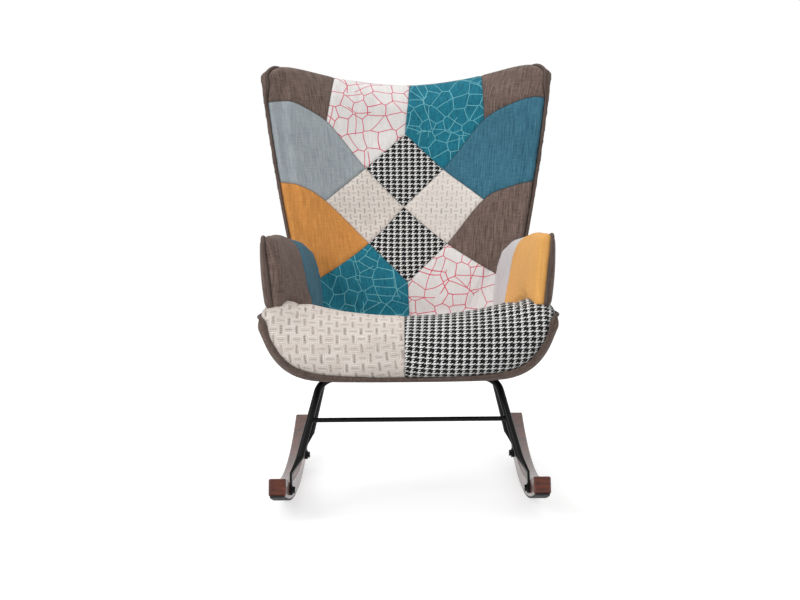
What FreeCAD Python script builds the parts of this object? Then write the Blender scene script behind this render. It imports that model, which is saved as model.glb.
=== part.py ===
import FreeCAD, Part
import math
import os
from FreeCAD import Vector

# Rocking armchair, in millimetres. The sitter looks along -Y, Z is up, and the origin is on the
# floor midway between the two lines where the rubber strips touch it at rest.
# "left" is the side at -X, on the left of a viewer who faces the chair.

# Rockers: two arcs of laminated wood, each on a rubber strip
rocker_radius = 1350.0
rocker_half_length = 412.0
rocker_width = 36.0
rocker_depth = 36.0
rocker_spacing = 543.0
rocker_edge_round = 4.0
balance_y = 0.0
strip_thickness = 3.5
strip_width = 30.0

# Leg hoops: bent steel tube with flattened ends
tube_radius = 8.0
tube_wall = 1.5
hoop_axis_z = 280.0
hoop_half_width = 190.0
hoop_bend = 42.0
front_foot_y = -305.0
front_top_y = -200.0
rear_foot_y = 195.0
rear_top_y = 45.0
tab_thickness = 5.0
tab_width = 22.0
tab_length = 34.0
tab_blend = 40.0
stretcher_radius = 5.0
stretcher_z = 195.0
weld_gap = 0.1

# Flat steel rails on the hoops
rail_width = 30.0
rail_thickness = 4.0
rail_x = 112.0
rail_overhang = 22.0
seat_bolt_inset = 46.0

# Fasteners
rocker_bolt = {"shank": 4.0, "length": 24.0, "head": 7.5, "head_height": 5.0}
seat_bolt = {"shank": 3.0, "length": 20.0, "head": 5.5, "head_height": 4.0}
wood_screw = {"shank": 2.0, "length": 13.0, "head": 4.5, "head_height": 2.4}
washer_thickness = 1.5
washer_margin = 3.0
insert_wall = 2.5
insert_length = 18.0
tee_flange_radius = 10.0
tee_flange_thickness = 1.5
tee_wall = 1.3
tee_length = 11.0
hole_clearance = 0.3
thread_clearance = 0.1

# Seat board and layers of the upholstery
board_thickness = 15.0
board_half_width = 180.0
board_front_y = -259.0
board_rear_y = 93.0
dust_cover_thickness = 1.0
dust_cover_margin = 4.0
cover_thickness = 2.0
pad_clearance = 0.3
piping_radius = 4.0

deck_z = hoop_axis_z + tube_radius + weld_gap + rail_thickness + dust_cover_thickness

# Seat pad: a rolled front edge, turned-up corners and a dished top
seat_half_width = 315.0
seat_nose_y = -357.0
seat_corner_setback = 45.0
seat_widest_y = -269.0
seat_rear_y = 143.0
seat_plan_power = 0.225
seat_bottom_power = 8.5
seat_plan_round = 0.97
seat_lip_drop = 8.0
seat_lip_y = -267.0
seat_nose_height = 130.0
seat_corner_lift = 55.0
seat_corner_fall = 50.0
seat_edge_rise = 112.0
seat_rear_drop = 37.0
seat_roll_length = 108.0
seat_roll_drop = 12.0
seat_dish = 13.0
seat_nose_share = 0.36
seam_rise = 7.5
seam_corner_rise = 26.0
seam_tip_fall = 20.0
seam_below_top = 12.0
seat_piping_end = 0.82
seat_piping_bend = 12.0

# Back: a reclined shell whose wings come forward
back_base_height = 17.0
back_front_y = 97.0
back_height = 613.0
back_rake = 209.0
back_bottom_half_width = 199.0
back_top_half_width = 330.0
back_wing_lift = 80.0
back_wing_fall = 55.0
back_bottom_wing = 90.0
back_top_wing = 115.0
back_wing_power = 2.4
back_thickness = 60.0
back_edge_thickness = 32.0
back_bow = 9.0
back_wing_bow = 12.0
back_top_crown = 9.0
back_seam_depth = 5.0
back_top_seam_inset = 8.0
back_top_seam_fall = 25.0
back_seam_crossing = 0.14
back_board_thickness = 10.0
back_board_behind = 4.0
back_board_margin = 24.0
back_piping_start = 30.0
back_piping_corner = 6.0

# Arms: leaning pads from the front roll to the wings
arm_front_y = -289.0
arm_rear_y = 103.0
arm_foot_height = 87.0
arm_front_shoulder = 288.0
arm_rear_shoulder = 228.0
arm_front_inner_foot = 260.0
arm_rear_inner_foot = 187.0
arm_front_inner = 270.0
arm_rear_inner = 216.0
arm_front_outer = 313.0
arm_rear_outer = 270.0
arm_front_outer_foot = 292.0
arm_rear_outer_foot = 246.0
arm_inner_crown = 5.0
arm_outer_crown = 7.0
arm_top_share = 0.42
arm_seam_depth = 10.0
arm_board_thickness = 10.0
arm_board_foot = 38.0
arm_board_top = 46.0
arm_board_end = 32.0

# Flat steel brackets between the boards
bracket_thickness = 4.0
bracket_width = 34.0
bracket_reach = 46.0
arm_bracket_at = (0.28, 0.72)
arm_bracket_top = 30.0
back_bracket_x = 95.0
back_bracket_height = 150.0
screw_inset = 12.0
screw_pitch = 22.0
screw_side_offset = 9.0

sides = {"left": -1.0, "right": 1.0}
section_count = 6
piping_section_count = 12


def ramp(start, end, share):
    return start + (end - start) * share


def arc(start, middle, end):
    return Part.Arc(start, middle, end).toShape()


def line(start, end):
    return Part.makeLine(start, end)


def loft(sections):
    return Part.makeLoft(sections, True, False)


def spread(count=section_count):
    # Sines of evenly spaced angles, so that sections crowd towards both edges.
    return [math.sin(math.pi / 2 * step / count) for step in range(-count, count + 1)]


def cylinder(radius, start, end):
    axis = end.sub(start)
    return Part.makeCylinder(radius, axis.Length, start, axis)


def block(x0, x1, y0, y1, z0, z1):
    return Part.makeBox(x1 - x0, y1 - y0, z1 - z0, Vector(x0, y0, z0))


def mirrored(shape, side):
    if side > 0:
        return shape
    return shape.mirror(Vector(0, 0, 0), Vector(1, 0, 0))


def hexagon(radius, height, start, axis):
    points = []
    for corner in range(7):
        turn = math.pi / 3 * corner
        points.append(Vector(radius * math.cos(turn), radius * math.sin(turn), 0))
    prism = Part.Face(Part.makePolygon(points)).extrude(Vector(0, 0, height))
    prism.Placement = FreeCAD.Placement(start, FreeCAD.Rotation(Vector(0, 0, 1), axis))
    return prism


def circle_section(centre, tangent, across, radius):
    # Three arcs of a third of a turn, all starting from the same side of the tube.
    over = tangent.cross(across)

    def point(turn):
        angle = 2 * math.pi * turn
        return centre + across * (radius * math.cos(angle)) + over * (radius * math.sin(angle))

    edges = [arc(point(k / 3), point((k + 0.5) / 3), point((k + 1) / 3)) for k in range(3)]
    return Part.Wire(edges)


def piping(path, across):
    # A round cord through the points; its sections don't twist along the way.
    sections = []
    for index, centre in enumerate(path):
        before = path[max(index - 1, 0)]
        after = path[min(index + 1, len(path) - 1)]
        tangent = after - before
        tangent.normalize()
        across = across - tangent * across.dot(tangent)
        across.normalize()
        sections.append(circle_section(centre, tangent, across, piping_radius))
    return Part.makeLoft(sections, True, True)


def board_top_z():
    return deck_z + cover_thickness + board_thickness


# Seat pad. "edge" runs from -1 at the left tip to 1 at the right tip.

def seat_bottom(edge):
    return deck_z - seat_lip_drop + seat_edge_rise * abs(edge) ** seat_bottom_power


def seat_crest(edge):
    lift = seat_corner_lift * edge ** 2 - seat_corner_fall * edge ** 16
    return deck_z - seat_lip_drop + seat_nose_height + lift


def seat_front(edge):
    return seat_nose_y + seat_corner_setback * edge ** 4


def seat_back_end(edge):
    share = (1 - (seat_plan_round * edge) ** 2) ** seat_plan_power
    return seat_widest_y + (seat_rear_y - seat_widest_y) * share


def seat_rear_top(edge):
    return seat_crest(edge) - seat_rear_drop * (1 - edge ** 6)


def seat_section(edge, grow):
    x = (seat_half_width + grow) * edge
    low = seat_bottom(edge) - grow
    crest = seat_crest(edge) + grow
    front = seat_front(edge) - grow
    rear = seat_back_end(edge) + grow
    reach = (rear - front) / (seat_rear_y - seat_nose_y)
    drop = seat_roll_drop * reach
    nose = seat_nose_share * (crest - low)
    roll_end = front + nose + seat_roll_length * reach
    rear_top = seat_rear_top(edge) + grow
    under = Vector(x, front + nose, low)
    tip = Vector(x, front, (low + crest - drop) / 2)
    brow = Vector(x, front + nose, crest - drop)
    top = Vector(x, front + nose + seat_roll_length * reach / 2, crest)
    behind = Vector(x, roll_end, crest - drop)
    dish = 1 + seat_dish * (1 - edge ** 4)
    hollow = Vector(x, (roll_end + rear) / 2, (crest - drop + rear_top) / 2 - dish)
    last = Vector(x, rear, rear_top)
    heel = Vector(x, rear, low)
    edges = [arc(under, tip, brow), arc(brow, top, behind), arc(behind, hollow, last)]
    edges += [line(last, heel), line(heel, under)]
    return Part.Wire(edges)


def seat_body(grow):
    # The front lip hangs over the edge of the flat underside.
    pad = loft([seat_section(edge, grow) for edge in spread()])
    far = seat_half_width * 2
    return pad.cut(block(-far, far, seat_lip_y - grow, far, 0, deck_z - grow))


def seam_height(edge, y):
    # A narrow border round the roll, then near the top edge of the pad's sides.
    edge = min(abs(edge), 1)
    border = seam_rise + seam_corner_rise * edge ** 3 - seam_tip_fall * edge ** 30
    side = seat_rear_top(edge) - seam_below_top
    share = (y - seat_front(edge)) / (seat_back_end(edge) - seat_front(edge))
    return ramp(seat_bottom(edge) + border, side, share)


def seat_seam_cutter():
    # Everything above the seam between the patchwork and the plain border.
    far = seat_half_width * 2
    sections = []
    for edge in [-1.1] + spread() + [1.1]:
        x = seat_half_width * edge
        points = [Vector(x, y, seam_height(edge, y)) for y in (-far, far)]
        points += [point + Vector(0, 0, far * 2) for point in points[::-1]]
        sections.append(Part.makePolygon(points + points[:1]))
    return loft(sections)


def nose_circle(edge):
    # Centre and radius of the roll's front arc.
    low = seat_bottom(edge)
    reach = (seat_back_end(edge) - seat_front(edge)) / (seat_rear_y - seat_nose_y)
    high = seat_crest(edge) - seat_roll_drop * reach
    depth = seat_nose_share * (seat_crest(edge) - low)
    radius = ((high - low) ** 2 / 4 + depth ** 2) / (2 * depth)
    return Vector(seat_half_width * edge, seat_front(edge) + radius, (low + high) / 2), radius


def seat_seam_path():
    # Round the roll from tip to tip, then back along both sides to the wings.
    front = []
    for edge in spread(piping_section_count)[2:-2]:
        centre, radius = nose_circle(edge)
        z = seam_height(edge, seat_front(edge))
        rise = max(min((z - centre.z) / radius, 0.9), -0.9)
        reach = radius + piping_radius / 2
        out = Vector(0, -math.sqrt(1 - rise ** 2), rise)
        front.append(centre + out * reach)
    side = []
    x = seat_half_width + piping_radius / 2
    tip_y = seat_front(1.0)
    for turn in (30, 60, 90):
        angle = math.radians(turn)
        y = tip_y + seat_piping_bend * (1 - math.cos(angle))
        fall = seat_piping_bend * (1 - math.sin(angle))
        side.append(Vector(x, y, seam_height(1.0, y) - fall))
    for step in range(1, 5):
        y = ramp(tip_y + seat_piping_bend, seat_back_end(1.0), step / 5)
        side.append(Vector(x, y, seam_height(1.0, y)))
    for step in range(5):
        edge = ramp(1.0, seat_piping_end, (step / 4) ** 2)
        y = seat_back_end(edge)
        side.append(Vector(x - seat_half_width * (1 - edge), y, seam_height(edge, y)))
    left = [Vector(-point.x, point.y, point.z) for point in side[::-1]]
    return left + front + side


# Back. "across" runs from -1 at the left wing edge to 1 at the right wing edge.

def back_frame(across, grow):
    # Foot and head of the front face, and the directions of its rise and of its thickness.
    bend = abs(across) ** back_wing_power
    slope = back_wing_power * abs(across) ** (back_wing_power - 1) * math.copysign(1, across)
    thick = Vector(back_top_wing * slope, back_top_half_width, 0)
    thick.normalize()
    outward = Vector(thick.y, -thick.x, 0) * (grow * across)
    foot_z = deck_z + back_base_height
    lift = back_wing_lift * across ** 2 - back_wing_fall * across ** 8
    foot = Vector(back_bottom_half_width * across, back_front_y - back_bottom_wing * bend, foot_z)
    head_y = back_front_y + back_rake - back_top_wing * bend
    head = Vector(back_top_half_width * across, head_y, foot_z + back_height + lift)
    rise = head - foot
    return foot + outward, rise, thick


def back_depth(across):
    return back_edge_thickness + (back_thickness - back_edge_thickness) * (1 - across ** 4)


def back_slab(across, grow, front, rear, low, high, crown):
    # One closed profile: "front" and "rear" are depths behind the front face, "low" and
    # "high" are lengths cut from its two ends.
    foot, rise, thick = back_frame(across, grow)
    length = rise.Length
    up = Vector(rise)
    up.normalize()
    bow = back_bow + back_wing_bow * across ** 2

    def point(along, depth):
        return foot + up * along + thick * depth

    top = length - high
    middle = length / 2
    edges = [arc(point(low, front), point(middle, front + bow), point(top, front))]
    edges.append(arc(point(top, front), point(top + crown, (front + rear) / 2), point(top, rear)))
    edges.append(arc(point(top, rear), point(middle, rear + bow), point(low, rear)))
    edges.append(line(point(low, rear), point(low, front)))
    return Part.Wire(edges)


def back_point(across, share, depth):
    # Point at this share of the rise and this depth behind the bowed front face.
    foot, rise, thick = back_frame(across, 0)
    bow = back_bow + back_wing_bow * across ** 2
    return foot + rise * share + thick * (depth + 4 * bow * share * (1 - share))


def back_top_seam(across):
    # Depth of the seam on the top edge: it crosses to the rear just inside each corner.
    share = min(max((1 - abs(across)) / back_seam_crossing, 0), 1)
    return ramp(back_seam_depth, back_depth(across) - back_top_seam_inset, share)


def back_seam_path():
    # Up one wing from the arm, along the rear of the top and down the other wing.
    stand = piping_radius * 0.6
    foot, rise, thick = back_frame(1.0, 0)
    outward = Vector(thick.y, -thick.x, 0)
    corner = 1 - back_piping_corner / rise.Length
    start = (arm_rear_shoulder + back_piping_start - back_base_height) / rise.z
    right = []
    for step in range(7):
        point = back_point(1.0, ramp(start, corner, step / 6), -stand)
        right.append(point + outward * stand)
    left = [Vector(-point.x, point.y, point.z) for point in right]
    top = []
    for step in spread(piping_section_count)[1:-1]:
        across = step * (1 - back_piping_corner / back_top_half_width)
        foot, rise, thick = back_frame(across, 0)
        up = Vector(rise)
        up.normalize()
        half = back_depth(across) / 2
        depth = back_top_seam(across)
        crown = back_top_crown * (1 - ((depth - half) / half) ** 2)
        top.append(foot + rise + up * (crown + stand) + thick * depth)
    return left + top + right[::-1]


def back_body(grow):
    sections = []
    for across in spread():
        rear = back_depth(across) + grow
        sections.append(back_slab(across, grow, -grow, rear, -grow, -grow, back_top_crown))
    return loft(sections)


def back_and_behind():
    # The back and the space behind its wings, which no arm reaches into.
    sections = []
    far = 2 * back_thickness
    for across in spread():
        gap = -pad_clearance
        sections.append(back_slab(across, pad_clearance, gap, far, gap, gap, back_top_crown))
    return loft(sections)


def back_board():
    # Moulded plywood near the rear face, short of the welted edges.
    sections = []
    share = 1 - back_board_margin / back_top_half_width
    for step in spread():
        across = step * share
        rear = back_depth(across) - cover_thickness - back_board_behind
        front = rear - back_board_thickness
        margin = back_board_margin
        sections.append(back_slab(across, 0, front, rear, margin, margin, 1.0))
    return loft(sections)


def back_seam_section(across):
    # In front of the seam: near the front face, and on the top edge near the rear.
    foot, rise, thick = back_frame(across, 0)
    up = Vector(rise)
    up.normalize()
    far = back_thickness
    turn = rise.Length - back_top_seam_fall
    bow = back_bow + back_wing_bow * across ** 2
    depth = back_seam_depth
    top = back_top_seam(across)
    high = rise.Length + far

    def point(along, behind):
        return foot + up * along + thick * behind

    corners = [point(turn, depth), point(rise.Length, top), point(high, top)]
    corners += [point(high, -far), point(-far, -far), point(-far, depth)]
    edges = [line(first, second) for first, second in zip(corners, corners[1:])]
    edges.append(arc(corners[-1], point((turn - far) / 2, depth + bow), corners[0]))
    return Part.Wire(edges)


def back_seam_cutter():
    # Everything in front of the welt seam, from beyond one wing to beyond the other.
    beyond = 1.06
    turns = [1.0, 1 - back_seam_crossing / 2, 1 - back_seam_crossing, 0.5]
    right = [0.0] + turns[::-1] + [beyond]
    left = [-across for across in right[:0:-1]]
    return loft([back_seam_section(across) for across in left + right])


# Arms. "along" runs from 0 at the front to 1 at the wing, for the side at +X.

def arm_profile(along):
    inner_foot = ramp(arm_front_inner_foot, arm_rear_inner_foot, along)
    inner = ramp(arm_front_inner, arm_rear_inner, along ** 1.8)
    outer = ramp(arm_front_outer, arm_rear_outer, along ** 3)
    outer_foot = ramp(arm_front_outer_foot, arm_rear_outer_foot, along ** 1.6)
    shoulder = deck_z + ramp(arm_front_shoulder, arm_rear_shoulder, along)
    return inner_foot, inner, outer, outer_foot, shoulder


def arm_y(along):
    return ramp(arm_front_y, arm_rear_y, along)


def arm_section(along, grow, shrink):
    inner_foot, inner, outer, outer_foot, shoulder = arm_profile(along)
    low = deck_z + arm_foot_height
    width = (outer - inner) / 2
    pull = shrink * width
    inner_foot += pull - grow
    inner += pull - grow
    outer += grow - pull
    outer_foot += grow - pull
    crest = shoulder + arm_top_share * 2 * width + grow - pull
    y = arm_y(along) + grow * (2 * along - 1)
    points = [Vector(inner_foot, y, low - grow), Vector(inner, y, shoulder)]
    points += [Vector(outer, y, shoulder), Vector(outer_foot, y, low - grow)]
    height = (shoulder + low) / 2
    inside = Vector((inner_foot + inner) / 2 - arm_inner_crown, y, height)
    top = Vector((inner + outer) / 2, y, crest)
    outside = Vector((outer_foot + outer) / 2 + arm_outer_crown, y, height)
    edges = [arc(points[0], inside, points[1]), arc(points[1], top, points[2])]
    edges += [arc(points[2], outside, points[3]), line(points[3], points[0])]
    return Part.Wire(edges)


def arm_body(grow):
    # The front end is rounded by drawing in its first sections.
    stations = [(0, 0.42), (0.045, 0.12), (0.12, 0)]
    stations += [(along, 0) for along in (0.3, 0.55, 0.8, 1)]
    return loft([arm_section(along, grow, shrink) for along, shrink in stations])


def arm_middle(along, z):
    # Centre of the arm's thickness at one height.
    inner_foot, inner, outer, outer_foot, shoulder = arm_profile(along)
    low = deck_z + arm_foot_height
    share = (z - low) / (shoulder - low)
    return (ramp(inner_foot, inner, share) + ramp(outer_foot, outer, share)) / 2


def arm_board():
    # Plywood on the inner side of the brackets.
    length = arm_rear_y - arm_front_y
    first = arm_board_end / length
    sections = []
    for step in range(5):
        along = ramp(first, 1 - first, step / 4)
        shoulder = arm_profile(along)[4]
        low = deck_z + arm_foot_height + arm_board_foot
        high = shoulder - arm_board_top
        y = arm_y(along)
        points = []
        for z, depth in ((low, 1), (high, 1), (high, 0), (low, 0)):
            x = arm_middle(along, z) - bracket_thickness - arm_board_thickness * depth
            points.append(Vector(x, y, z))
        sections.append(Part.makePolygon(points + points[:1]))
    return loft(sections)


def arm_seam_x(along, z):
    inner_foot, inner, outer, outer_foot, shoulder = arm_profile(along)
    low = deck_z + arm_foot_height
    return ramp(outer_foot, outer, (z - low) / (shoulder - low)) - arm_seam_depth


def arm_seam_cutter():
    # Everything on the inner side of the welt seam.
    sections = []
    for step in range(-1, 8):
        along = step / 6
        inside = min(max(along, 0), 1)
        low = deck_z
        high = deck_z + arm_front_shoulder * 2
        y = arm_y(along)
        points = [Vector(0, y, low), Vector(0, y, high)]
        points += [Vector(arm_seam_x(inside, z), y, z) for z in (high, low)]
        sections.append(Part.makePolygon(points + points[:1]))
    return loft(sections)


def arm_seam_path():
    # Along the top from the wing to the front, then down the front end to the seat.
    stand = piping_radius / 2
    top = []
    for along in (1.0, 0.8, 0.6, 0.4, 0.2, 0.1, 0.045):
        inner_foot, inner, outer, outer_foot, shoulder = arm_profile(along)
        half = (outer - inner) / 2
        crown = arm_top_share * 2 * half
        radius = (half ** 2 + crown ** 2) / (2 * crown)
        run = half - arm_seam_depth
        rise = math.sqrt(radius ** 2 - run ** 2)
        centre = Vector(outer - half, arm_y(along), shoulder + crown - radius)
        top.append(centre + Vector(run, 0, rise) * (1 + stand / radius))
    last = top[-1]
    bend = last.y - arm_front_y + stand
    for turn in (30, 60, 90):
        angle = math.radians(turn)
        y = last.y - bend * math.sin(angle)
        top.append(Vector(last.x, y, last.z - bend * (1 - math.cos(angle))))
    end = top[-1]
    low = deck_z + arm_foot_height
    front = []
    for step in range(1, 6):
        z = ramp(end.z, low, step / 5)
        x = arm_seam_x(0.0, z) + (end.x - arm_seam_x(0.0, end.z)) * (1 - step / 5)
        front.append(Vector(x, end.y, z))
    return top + front


# Brackets: flat strips bent in one plane

def bent_strip(points, width):
    # A strip of the bracket's thickness on the left of a path of 2-D points (u, w).
    outer = []
    for index, point in enumerate(points):
        turns = []
        for first, second in ((index - 1, index), (index, index + 1)):
            if first >= 0 and second < len(points):
                turns.append((points[second] - points[first]).normalize())
        normal = Vector(0, 0, 0)
        for turn in turns:
            normal = normal + Vector(-turn.y, turn.x, 0)
        normal.normalize()
        spread_by = bracket_thickness / normal.dot(Vector(-turns[0].y, turns[0].x, 0))
        outer.append(point + normal * spread_by)
    loop = points + outer[::-1]
    face = Part.Face(Part.makePolygon(loop + loop[:1]))
    strip = face.extrude(Vector(0, 0, width))
    strip.translate(Vector(0, 0, -width / 2))
    return strip


def screw_at(point, axis):
    # Head above the point, shank below it; the axis points the way it is driven.
    head = cylinder(wood_screw["head"], point - axis * wood_screw["head_height"], point)
    shank = cylinder(wood_screw["shank"], point, point + axis * wood_screw["length"])
    return head.fuse(shank).removeSplitter()


def arm_bracket_path(along):
    board_top = board_top_z()
    kink_z = deck_z + arm_foot_height + 10
    top_z = arm_profile(along)[4] - arm_bracket_top
    start = Vector(board_half_width - bracket_reach, board_top, 0)
    edge = Vector(board_half_width - 6, board_top, 0)
    kink = Vector(arm_middle(along, kink_z), kink_z, 0)
    top = Vector(arm_middle(along, top_z), top_z, 0)
    return [start, edge, kink, top]


def from_xz(shape, y):
    # Turns a shape drawn in the plane (u, w) into one in the plane (X, Z) at this Y.
    turned = shape.copy()
    turned.rotate(Vector(0, 0, 0), Vector(1, 0, 0), 90)
    turned.translate(Vector(0, y, 0))
    return turned


def from_yz(shape, x):
    # Turns a shape drawn in the plane (u, w) into one in the plane (Y, Z) at this X.
    turned = shape.copy()
    turned.rotate(Vector(0, 0, 0), Vector(1, 0, 0), 90)
    turned.rotate(Vector(0, 0, 0), Vector(0, 0, 1), 90)
    turned.translate(Vector(x, 0, 0))
    return turned


def arm_bracket(along):
    return from_xz(bent_strip(arm_bracket_path(along), bracket_width), arm_y(along))


def arm_bracket_screws(along):
    # Two screws down into the seat board and two across into the arm board.
    start, edge, kink, top = arm_bracket_path(along)
    y = arm_y(along)
    screws = []
    for offset in (-screw_side_offset, screw_side_offset):
        point = Vector(start.x + screw_inset, y + offset, start.y + bracket_thickness)
        screws.append((point, Vector(0, 0, -1)))
    way = (top - kink).normalize()
    for distance in (screw_inset, screw_inset + screw_pitch):
        spot = top - way * distance
        screws.append((Vector(spot.x, y, spot.y), Vector(-way.y, 0, way.x)))
    return screws


def back_bracket_path(side):
    # Along the seat board, then up the front of the back board.
    board_top = board_top_z()
    across = side * back_bracket_x / back_bottom_half_width
    length = back_frame(across, 0)[1].Length
    depth = back_depth(across) - cover_thickness - back_board_behind - back_board_thickness
    low = back_point(across, back_board_margin / length, depth)
    high = back_point(across, back_bracket_height / length, depth)
    way = Vector(high.y - low.y, high.z - low.z, 0).normalize()
    corner = Vector(low.y - (low.z - board_top) * way.x / way.y, board_top, 0)
    start = Vector(board_rear_y - bracket_reach, board_top, 0)
    return [start, corner, Vector(high.y, high.z, 0)]


def back_bracket(side):
    return from_yz(bent_strip(back_bracket_path(side), bracket_width), side * back_bracket_x)


def back_bracket_screws(side):
    start, corner, top = back_bracket_path(side)
    x = side * back_bracket_x
    screws = []
    for distance in (screw_inset, screw_inset + screw_pitch):
        point = Vector(x, start.x + distance, start.y + bracket_thickness)
        screws.append((point, Vector(0, 0, -1)))
    way = (top - corner).normalize()
    normal = Vector(0, -way.y, way.x)
    for distance in (screw_inset, screw_inset + screw_pitch):
        spot = top - way * distance
        screws.append((Vector(x, spot.x, spot.y) + normal * bracket_thickness, normal * -1))
    return screws


def screw_hole(point, axis):
    radius = wood_screw["shank"] + thread_clearance
    return cylinder(radius, point - axis, point + axis * (wood_screw["length"] + 1))


# Legs and rockers

def rocker_point(radius, y):
    # Point of a rocker arc of this radius at one Y; all arcs share one centre.
    return Vector(0, y, rocker_radius - math.sqrt(radius ** 2 - (y - balance_y) ** 2))


def arc_bar(x0, x1, outer, inner):
    # Bar between two radii, with its ends square to the arc.
    centre = Vector(x0, balance_y, rocker_radius)
    corners = []
    for y in (-rocker_half_length, rocker_half_length):
        ray = rocker_point(rocker_radius, y) + Vector(x0, 0, 0) - centre
        ray.normalize()
        corners.append([centre + ray * outer, centre + ray * inner])
    low = [centre - Vector(0, 0, outer), centre - Vector(0, 0, inner)]
    edges = [arc(corners[0][0], low[0], corners[1][0]), line(corners[1][0], corners[1][1])]
    edges += [arc(corners[1][1], low[1], corners[0][1]), line(corners[0][1], corners[0][0])]
    return Part.Face(Part.Wire(edges)).extrude(Vector(x1 - x0, 0, 0))


def rocker_inner_x():
    return rocker_spacing / 2 - rocker_width / 2


def bolt_spot(y):
    middle = rocker_radius - strip_thickness - rocker_depth / 2
    spot = rocker_point(middle, y)
    return Vector(rocker_inner_x(), spot.y, spot.z)


def rocker():
    inner_x = rocker_inner_x()
    outer = rocker_radius - strip_thickness
    bar = arc_bar(inner_x, inner_x + rocker_width, outer, outer - rocker_depth)
    bar = bar.makeFillet(rocker_edge_round, bar.Edges)
    for y in (front_foot_y, rear_foot_y):
        spot = bolt_spot(y)
        depth = rocker_bolt["length"] + hole_clearance
        radius = rocker_bolt["shank"] + thread_clearance + insert_wall
        hole = cylinder(radius, spot - Vector(1, 0, 0), spot + Vector(insert_length, 0, 0))
        tip = cylinder(rocker_bolt["shank"] + hole_clearance, spot, spot + Vector(depth, 0, 0))
        bar = bar.cut(hole).cut(tip)
    return bar


def rocker_strip():
    start = rocker_spacing / 2 - strip_width / 2
    return arc_bar(start, start + strip_width, rocker_radius, rocker_radius - strip_thickness)


def rounded_path(points, radius):
    # Straight runs joined by tangent arcs.
    edges = []
    last = points[0]
    for before, corner, after in zip(points, points[1:], points[2:]):
        back_way = (before - corner).normalize()
        on_way = (after - corner).normalize()
        half = back_way.getAngle(on_way) / 2
        reach = radius / math.tan(half)
        middle = (back_way + on_way).normalize()
        start = corner + back_way * reach
        end = corner + on_way * reach
        crown = corner + middle * (radius / math.sin(half) - radius)
        edges += [line(last, start), arc(start, crown, end)]
        last = end
    edges.append(line(last, points[-1]))
    return Part.Wire(edges)


def pipe(points, radius, bend):
    path = rounded_path(points, bend)
    axis = points[1] - points[0]
    ring = Part.Wire(Part.Circle(points[0], axis, radius).toShape())
    return path.makePipeShell([ring], True, True)


def leg_line(foot_y, top_y):
    # Bolt spot on the rocker and the corner of the hoop above it, at +X.
    foot = bolt_spot(foot_y) - Vector(tab_thickness / 2, 0, 0)
    corner = Vector(hoop_half_width, top_y, hoop_axis_z)
    return foot, corner


def flattened_end(foot, corner):
    # Tab against the rocker, and the stretch where the tube grows out of it.
    slope = Vector(0, corner.y - foot.y, corner.z - foot.z)
    slope.normalize()
    side = Vector(0, slope.z, -slope.y)
    half = Vector(tab_thickness / 2, 0, 0)
    wide = side * (tab_width / 2)
    neck = foot + slope * tab_length
    corners = [foot - wide - half, neck - wide - half, neck + wide - half, foot + wide - half]
    round_end = foot - slope * (tab_width / 2) - half
    edges = [line(corners[0], corners[1]), line(corners[1], corners[2])]
    edges += [line(corners[2], corners[3]), arc(corners[3], round_end, corners[0])]
    tab = Part.Face(Part.Wire(edges)).extrude(half * 2)
    way = corner - foot
    way.normalize()
    start = foot + way * (tab_length + tab_blend)
    flat = [neck - wide - half, neck + wide - half, neck + wide + half, neck - wide + half]
    flat_wire = Part.makePolygon(flat + flat[:1])
    over = way.cross(side)
    over.normalize()
    ends = []
    for across_share, over_share in ((-1, 1), (1, 1), (1, -1), (-1, -1)):
        ends.append((side * across_share + over * over_share).normalize())
    ring = []
    for first, second in zip(ends, ends[1:] + ends[:1]):
        middle = (first + second).normalize()
        rim = [start + way_out * tube_radius for way_out in (first, middle, second)]
        ring.append(arc(rim[0], rim[1], rim[2]))
    neck_solid = Part.makeLoft([flat_wire, Part.Wire(ring)], True, True)
    hole_radius = rocker_bolt["shank"] + hole_clearance
    hole = cylinder(hole_radius, foot - half * 2, foot + half * 2)
    return tab.cut(hole), neck_solid, start


def hoop(foot_y, top_y):
    foot, corner = leg_line(foot_y, top_y)
    tab, neck, start = flattened_end(foot, corner)
    path = [start, corner, Vector(-corner.x, corner.y, corner.z), Vector(-start.x, start.y, start.z)]
    tube = pipe(path, tube_radius, hoop_bend)
    bore = pipe(path, tube_radius - tube_wall, hoop_bend)
    shape = tube.cut(bore)
    for side in sides.values():
        shape = shape.fuse(mirrored(neck, side)).fuse(mirrored(tab, side))
    return shape


def stretcher():
    foot, corner = leg_line(front_foot_y, front_top_y)
    share = (stretcher_z - foot.z) / (corner.z - foot.z)
    end = foot + (corner - foot) * share
    rod = cylinder(stretcher_radius, Vector(-end.x, end.y, end.z), end)
    for side in sides.values():
        start = Vector(side * foot.x, foot.y, foot.z)
        finish = Vector(side * corner.x, corner.y, corner.z)
        rod = rod.cut(cylinder(tube_radius + weld_gap, start, finish))
    return rod


def rail_ends():
    return front_top_y - rail_overhang, rear_top_y + rail_overhang


def seat_bolt_spots():
    front, rear = rail_ends()
    spots = []
    for side in sides.values():
        for y in (front + seat_bolt_inset, rear - seat_bolt_inset):
            spots.append(Vector(side * rail_x, y, deck_z - dust_cover_thickness - rail_thickness))
    return spots


def mounting_rail():
    front, rear = rail_ends()
    top = deck_z - dust_cover_thickness
    start = rail_x - rail_width / 2
    return block(start, start + rail_width, front, rear, top - rail_thickness, top)


def seat_bolt_holes():
    # From below the rails to the tops of the tee nuts.
    radius = seat_bolt["shank"] + hole_clearance
    below = Vector(0, 0, rail_thickness)
    nut_top = board_top_z() + tee_flange_thickness
    holes = []
    for spot in seat_bolt_spots():
        holes.append(cylinder(radius, spot - below, Vector(spot.x, spot.y, nut_top)))
    return Part.makeCompound(holes)


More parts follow.
